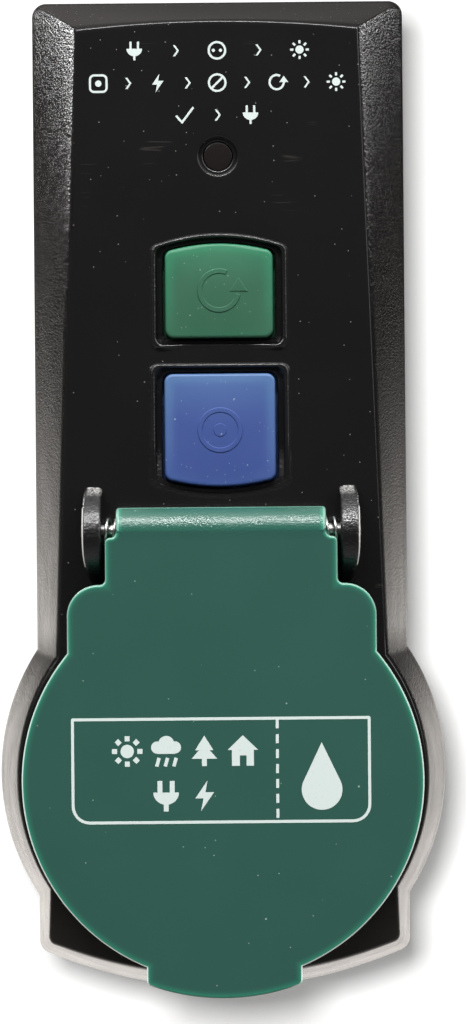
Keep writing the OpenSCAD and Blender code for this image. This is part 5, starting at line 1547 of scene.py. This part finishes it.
def softened(node, width):
    """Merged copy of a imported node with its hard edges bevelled."""
    source = nodes[node]
    mesh = source.data.copy()
    mesh.name = node + "_soft"
    solid = bmesh.new()
    solid.from_mesh(mesh)
    bmesh.ops.remove_doubles(solid, verts=solid.verts, dist=WELD)
    bmesh.ops.dissolve_limit(solid, angle_limit=FLAT_WITHIN, verts=solid.verts, edges=solid.edges)
    solid.to_mesh(mesh)
    solid.free()
    made = bpy.data.objects.new(node + "_soft", mesh)
    bpy.context.scene.collection.objects.link(made)
    mesh.shade_smooth()
    bevel = made.modifiers.new("edges", "BEVEL")
    bevel.width = width * MM
    bevel.segments = BEVEL_SEGMENTS
    bevel.limit_method = "ANGLE"
    bevel.angle_limit = HARD_EDGE
    bevel.harden_normals = True
    body = source["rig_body"]
    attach(made, body)
    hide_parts(node)


for node, width in SOFT_EDGES.items():
    softened(node, width)
print("rounded copies:", len(SOFT_EDGES))

# %% [markdown]
# ## Studio
# A white sheet behind the part, a large soft lamp up to the left and a strip above. The sheet has
# a lamp of its own for the short soft shadow to the right and below. From behind the sheet is clear,
# so the plug can be seen. The surroundings are white to the eye, and darker in front, so that the
# face stays black. The steep flanks mirror a large card behind the sheet, which only mirror views
# see: its glow is worked out from the place on it, as flags mask a soft box in a studio.

# %% Sheet behind the part
SHEET_Y, SHEET_HALF = 37.5, 700.0
SHEET_SEEN, SHEET_MIDDLE = 190.0, 37.0
SHEET_WHITE = (0.93, 0.925, 0.92)
SHADOW_LEVEL = 0.17
CORNER_LEVEL, CORNER_ASIDE, CORNER_ABOVE, CORNER_END = 46.0, (84, 112), (80, 100), 140
CORNER_DIM, CORNER_RIGHT = 0.6, (-25, 45)


def white_sheet(finish):
    """White paper. To the eye it ends just past the shadow, where the surroundings are as white. In
    mirror views only a glow at each upper corner is left of it."""
    seen = finish.node("ShaderNodeLightPath", output="Is Camera Ray")
    mirrored = finish.node("ShaderNodeLightPath", output="Is Glossy Ray")
    back = finish.node("ShaderNodeNewGeometry", output="Backfacing")
    aside, up = finish.axis("X"), finish.axis("Z") - SHEET_MIDDLE
    out = aside.math("ABSOLUTE")
    reach = out.math("MAXIMUM", up.math("ABSOLUTE"))
    corner = out.ramp(*CORNER_ASIDE) * up.ramp(*CORNER_ABOVE) * (reach < CORNER_END)
    corner = corner * (1 - aside.ramp(*CORNER_RIGHT) * CORNER_DIM) * CORNER_LEVEL
    gone = back.math("MAXIMUM", mirrored).math("MAXIMUM", seen * (reach > SHEET_SEEN))
    white = finish.node("ShaderNodeBsdfDiffuse", None, {"Color": rgba(SHEET_WHITE)})
    glow = finish.node("ShaderNodeEmission", None, {"Strength": seen * SHADOW_LEVEL})
    lit = finish.node("ShaderNodeAddShader", None, {0: white, 1: glow})
    clear = finish.node("ShaderNodeBsdfTransparent")
    paper = finish.node("ShaderNodeMixShader", None, {0: gone, 1: lit, 2: clear})
    patch = finish.node("ShaderNodeEmission", None, {"Strength": mirrored * corner})
    return finish.node("ShaderNodeAddShader", None, {0: paper, 1: patch})


def upright_sheet(name, y, half, recipe):
    """Square stage sheet that faces the camera, with a finish that doesn't count as a lamp."""
    material = bpy.data.materials.new(name)
    finish = Finish(material)
    finish.node("ShaderNodeOutputMaterial", None, {"Surface": recipe(finish)})
    material.cycles.emission_sampling = "NONE"
    mesh = bpy.data.meshes.new(name)
    corners = np.array([[-1, -1], [1, -1], [1, 1], [-1, 1]]) * half
    mesh.from_pydata(place(corners[:, 0], corners[:, 1], -y).tolist(), [], [(0, 1, 2, 3)])
    mesh.materials.append(material)
    made = bpy.data.objects.new(name, mesh)
    bpy.context.scene.collection.objects.link(made)
    print(name, "faces", tuple(round(v, 2) for v in mesh.polygons[0].normal))
    return made


sheet = upright_sheet("white_sheet", SHEET_Y, SHEET_HALF, white_sheet)

# %% Card for mirror views
CARD_Y, CARD_HALF = 330.0, 2000.0
CARD_WARM = (1, 0.947, 0.895, 1)
CARD_LEVEL, CARD_FADE, CARD_ABOVE, CARD_RIGHT = 1.2, 0.95, (14, 97), (-80, 125)
FLOOR_DIM, FLOOR_BELOW = 0.43, (-190, -60)
ASIDE_FADE, ASIDE_FROM = 0.86, (160, 310)
NEAR_LEVEL, NEAR_ASIDE, NEAR_ABOVE = 0.9, (96, 150), (15, 45)
FLAG_DIM, FLAG_ASIDE, FLAG_ABOVE, FLAG_END = 0.36, (142, 172), (16, 40), (65, 115)
BEVEL_LEVEL, BEVEL_ABOVE = 0.205, (185, 310)
RIGHT_DIM, RIGHT_DIM_ABOVE, RIGHT_ABOVE = 0.16, 0.36, (0, 58)


def card_glow(finish):
    """Light that the glossy flanks mirror: bright low down, darker upwards, aside and to the right,
    with a bright place near the bulge and a dark one above its shoulders."""
    aside, up = finish.axis("X"), finish.axis("Z")
    out = aside.math("ABSOLUTE")
    image = (1 - up.ramp(*CARD_ABOVE) * CARD_FADE) * CARD_LEVEL
    image = image * (1 - (1 - up.ramp(*FLOOR_BELOW)) * FLOOR_DIM)
    image = image + up.ramp(*BEVEL_ABOVE) * BEVEL_LEVEL
    near = (1 - out.ramp(*NEAR_ASIDE)) * (1 - up.ramp(*NEAR_ABOVE)) * NEAR_LEVEL
    flag = (1 - out.ramp(*FLAG_ASIDE)) * up.ramp(*FLAG_ABOVE) * (1 - up.ramp(*FLAG_END)) * FLAG_DIM
    image = image * (1 + near - flag - out.ramp(*ASIDE_FROM) * ASIDE_FADE)
    dim = aside.ramp(*CARD_RIGHT) * (RIGHT_DIM + up.ramp(*RIGHT_ABOVE) * RIGHT_DIM_ABOVE)
    return finish.node("ShaderNodeEmission", None, {"Color": CARD_WARM, "Strength": image * (1 - dim)})


card = upright_sheet("mirror_card", CARD_Y, CARD_HALF, card_glow)
card.visible_camera = False
card.visible_diffuse = False
card.visible_transmission = False
card.visible_shadow = False

# %% Lamps
MIDDLE, SHEET_AIM = (0, -20, 37), (0, 0, 37)


def lamp(name, at, aim, watts, size):
    """A soft box of a size at a place in millimetres, aimed at a point."""
    data = bpy.data.lights.new(name, "AREA")
    data.energy = watts
    data.shape = "RECTANGLE"
    data.size, data.size_y = (v * MM for v in size)
    made = bpy.data.objects.new(name, data)
    bpy.context.scene.collection.objects.link(made)
    made.location = Vector(at) * MM
    made.rotation_euler = (Vector(aim) - Vector(at)).to_track_quat("-Z", "Y").to_euler()
    print(f"{name}: {watts} W")
    return made


key = lamp("key", (-840, -1040, 1000), MIDDLE, 10.5, (840, 840))
strip = lamp("strip", (0, -690, 880), MIDDLE, 20.0, (1100, 80))
fill = lamp("fill", (960, -840, 500), MIDDLE, 5.5, (520, 760))
sheet_lamp = lamp("sheet_lamp", (-24, -720, 67), SHEET_AIM, 5.0, (52, 52))


def lights(lamp_object, state):
    """Lets a lamp light the sheet alone, or all but the sheet."""
    group = bpy.data.collections.new(lamp_object.name + "_reach")
    group.objects.link(sheet)
    group.collection_objects[0].light_linking.link_state = state
    lamp_object.light_linking.receiver_collection = group


lights(sheet_lamp, "INCLUDE")
for lamp_object in (key, strip, fill):
    lights(lamp_object, "EXCLUDE")

# %% Surroundings
AIR_WHITE = (1, 0.995, 0.985, 1)
LEAST_LEVEL, BEHIND_LEVEL, BEHIND_FROM = 0.05, 0.35, (-0.8, 0.3)
ABOVE_LEVEL, ABOVE_MIRRORED, ABOVE_FROM = 0.4, 1.6, (0.2, 0.95)
BELOW_LEVEL, BELOW_FROM = 0.45, (-0.95, -0.2)

world = bpy.data.worlds.new("surroundings")
bpy.context.scene.world = world
around = Finish(world)
direction = around.node("ShaderNodeTexCoord", output="Generated")
forward = around.node("ShaderNodeSeparateXYZ", None, {0: direction}, output="Y")
up = around.node("ShaderNodeSeparateXYZ", None, {0: direction}, output="Z")
seen = around.node("ShaderNodeLightPath", output="Is Camera Ray")
mirrored = around.node("ShaderNodeLightPath", output="Is Glossy Ray")
above = up.ramp(*ABOVE_FROM) * (ABOVE_LEVEL + mirrored * ABOVE_MIRRORED)
below = (1 - up.ramp(*BELOW_FROM)) * BELOW_LEVEL
soft = LEAST_LEVEL + forward.ramp(*BEHIND_FROM) * BEHIND_LEVEL + above + below
glow = {"Color": AIR_WHITE, "Strength": seen.math("MAXIMUM", soft)}
background = around.node("ShaderNodeBackground", None, glow)
around.node("ShaderNodeOutputWorld", None, {"Surface": background})
print("surroundings:", len(around.tree.nodes), "nodes")

# %% [markdown]
# ## View transform
# The view transform is set to Standard. The dressed part has to stay inside the imported
# part's box.

# %% View transform
bpy.context.scene.view_settings.view_transform = "Standard"
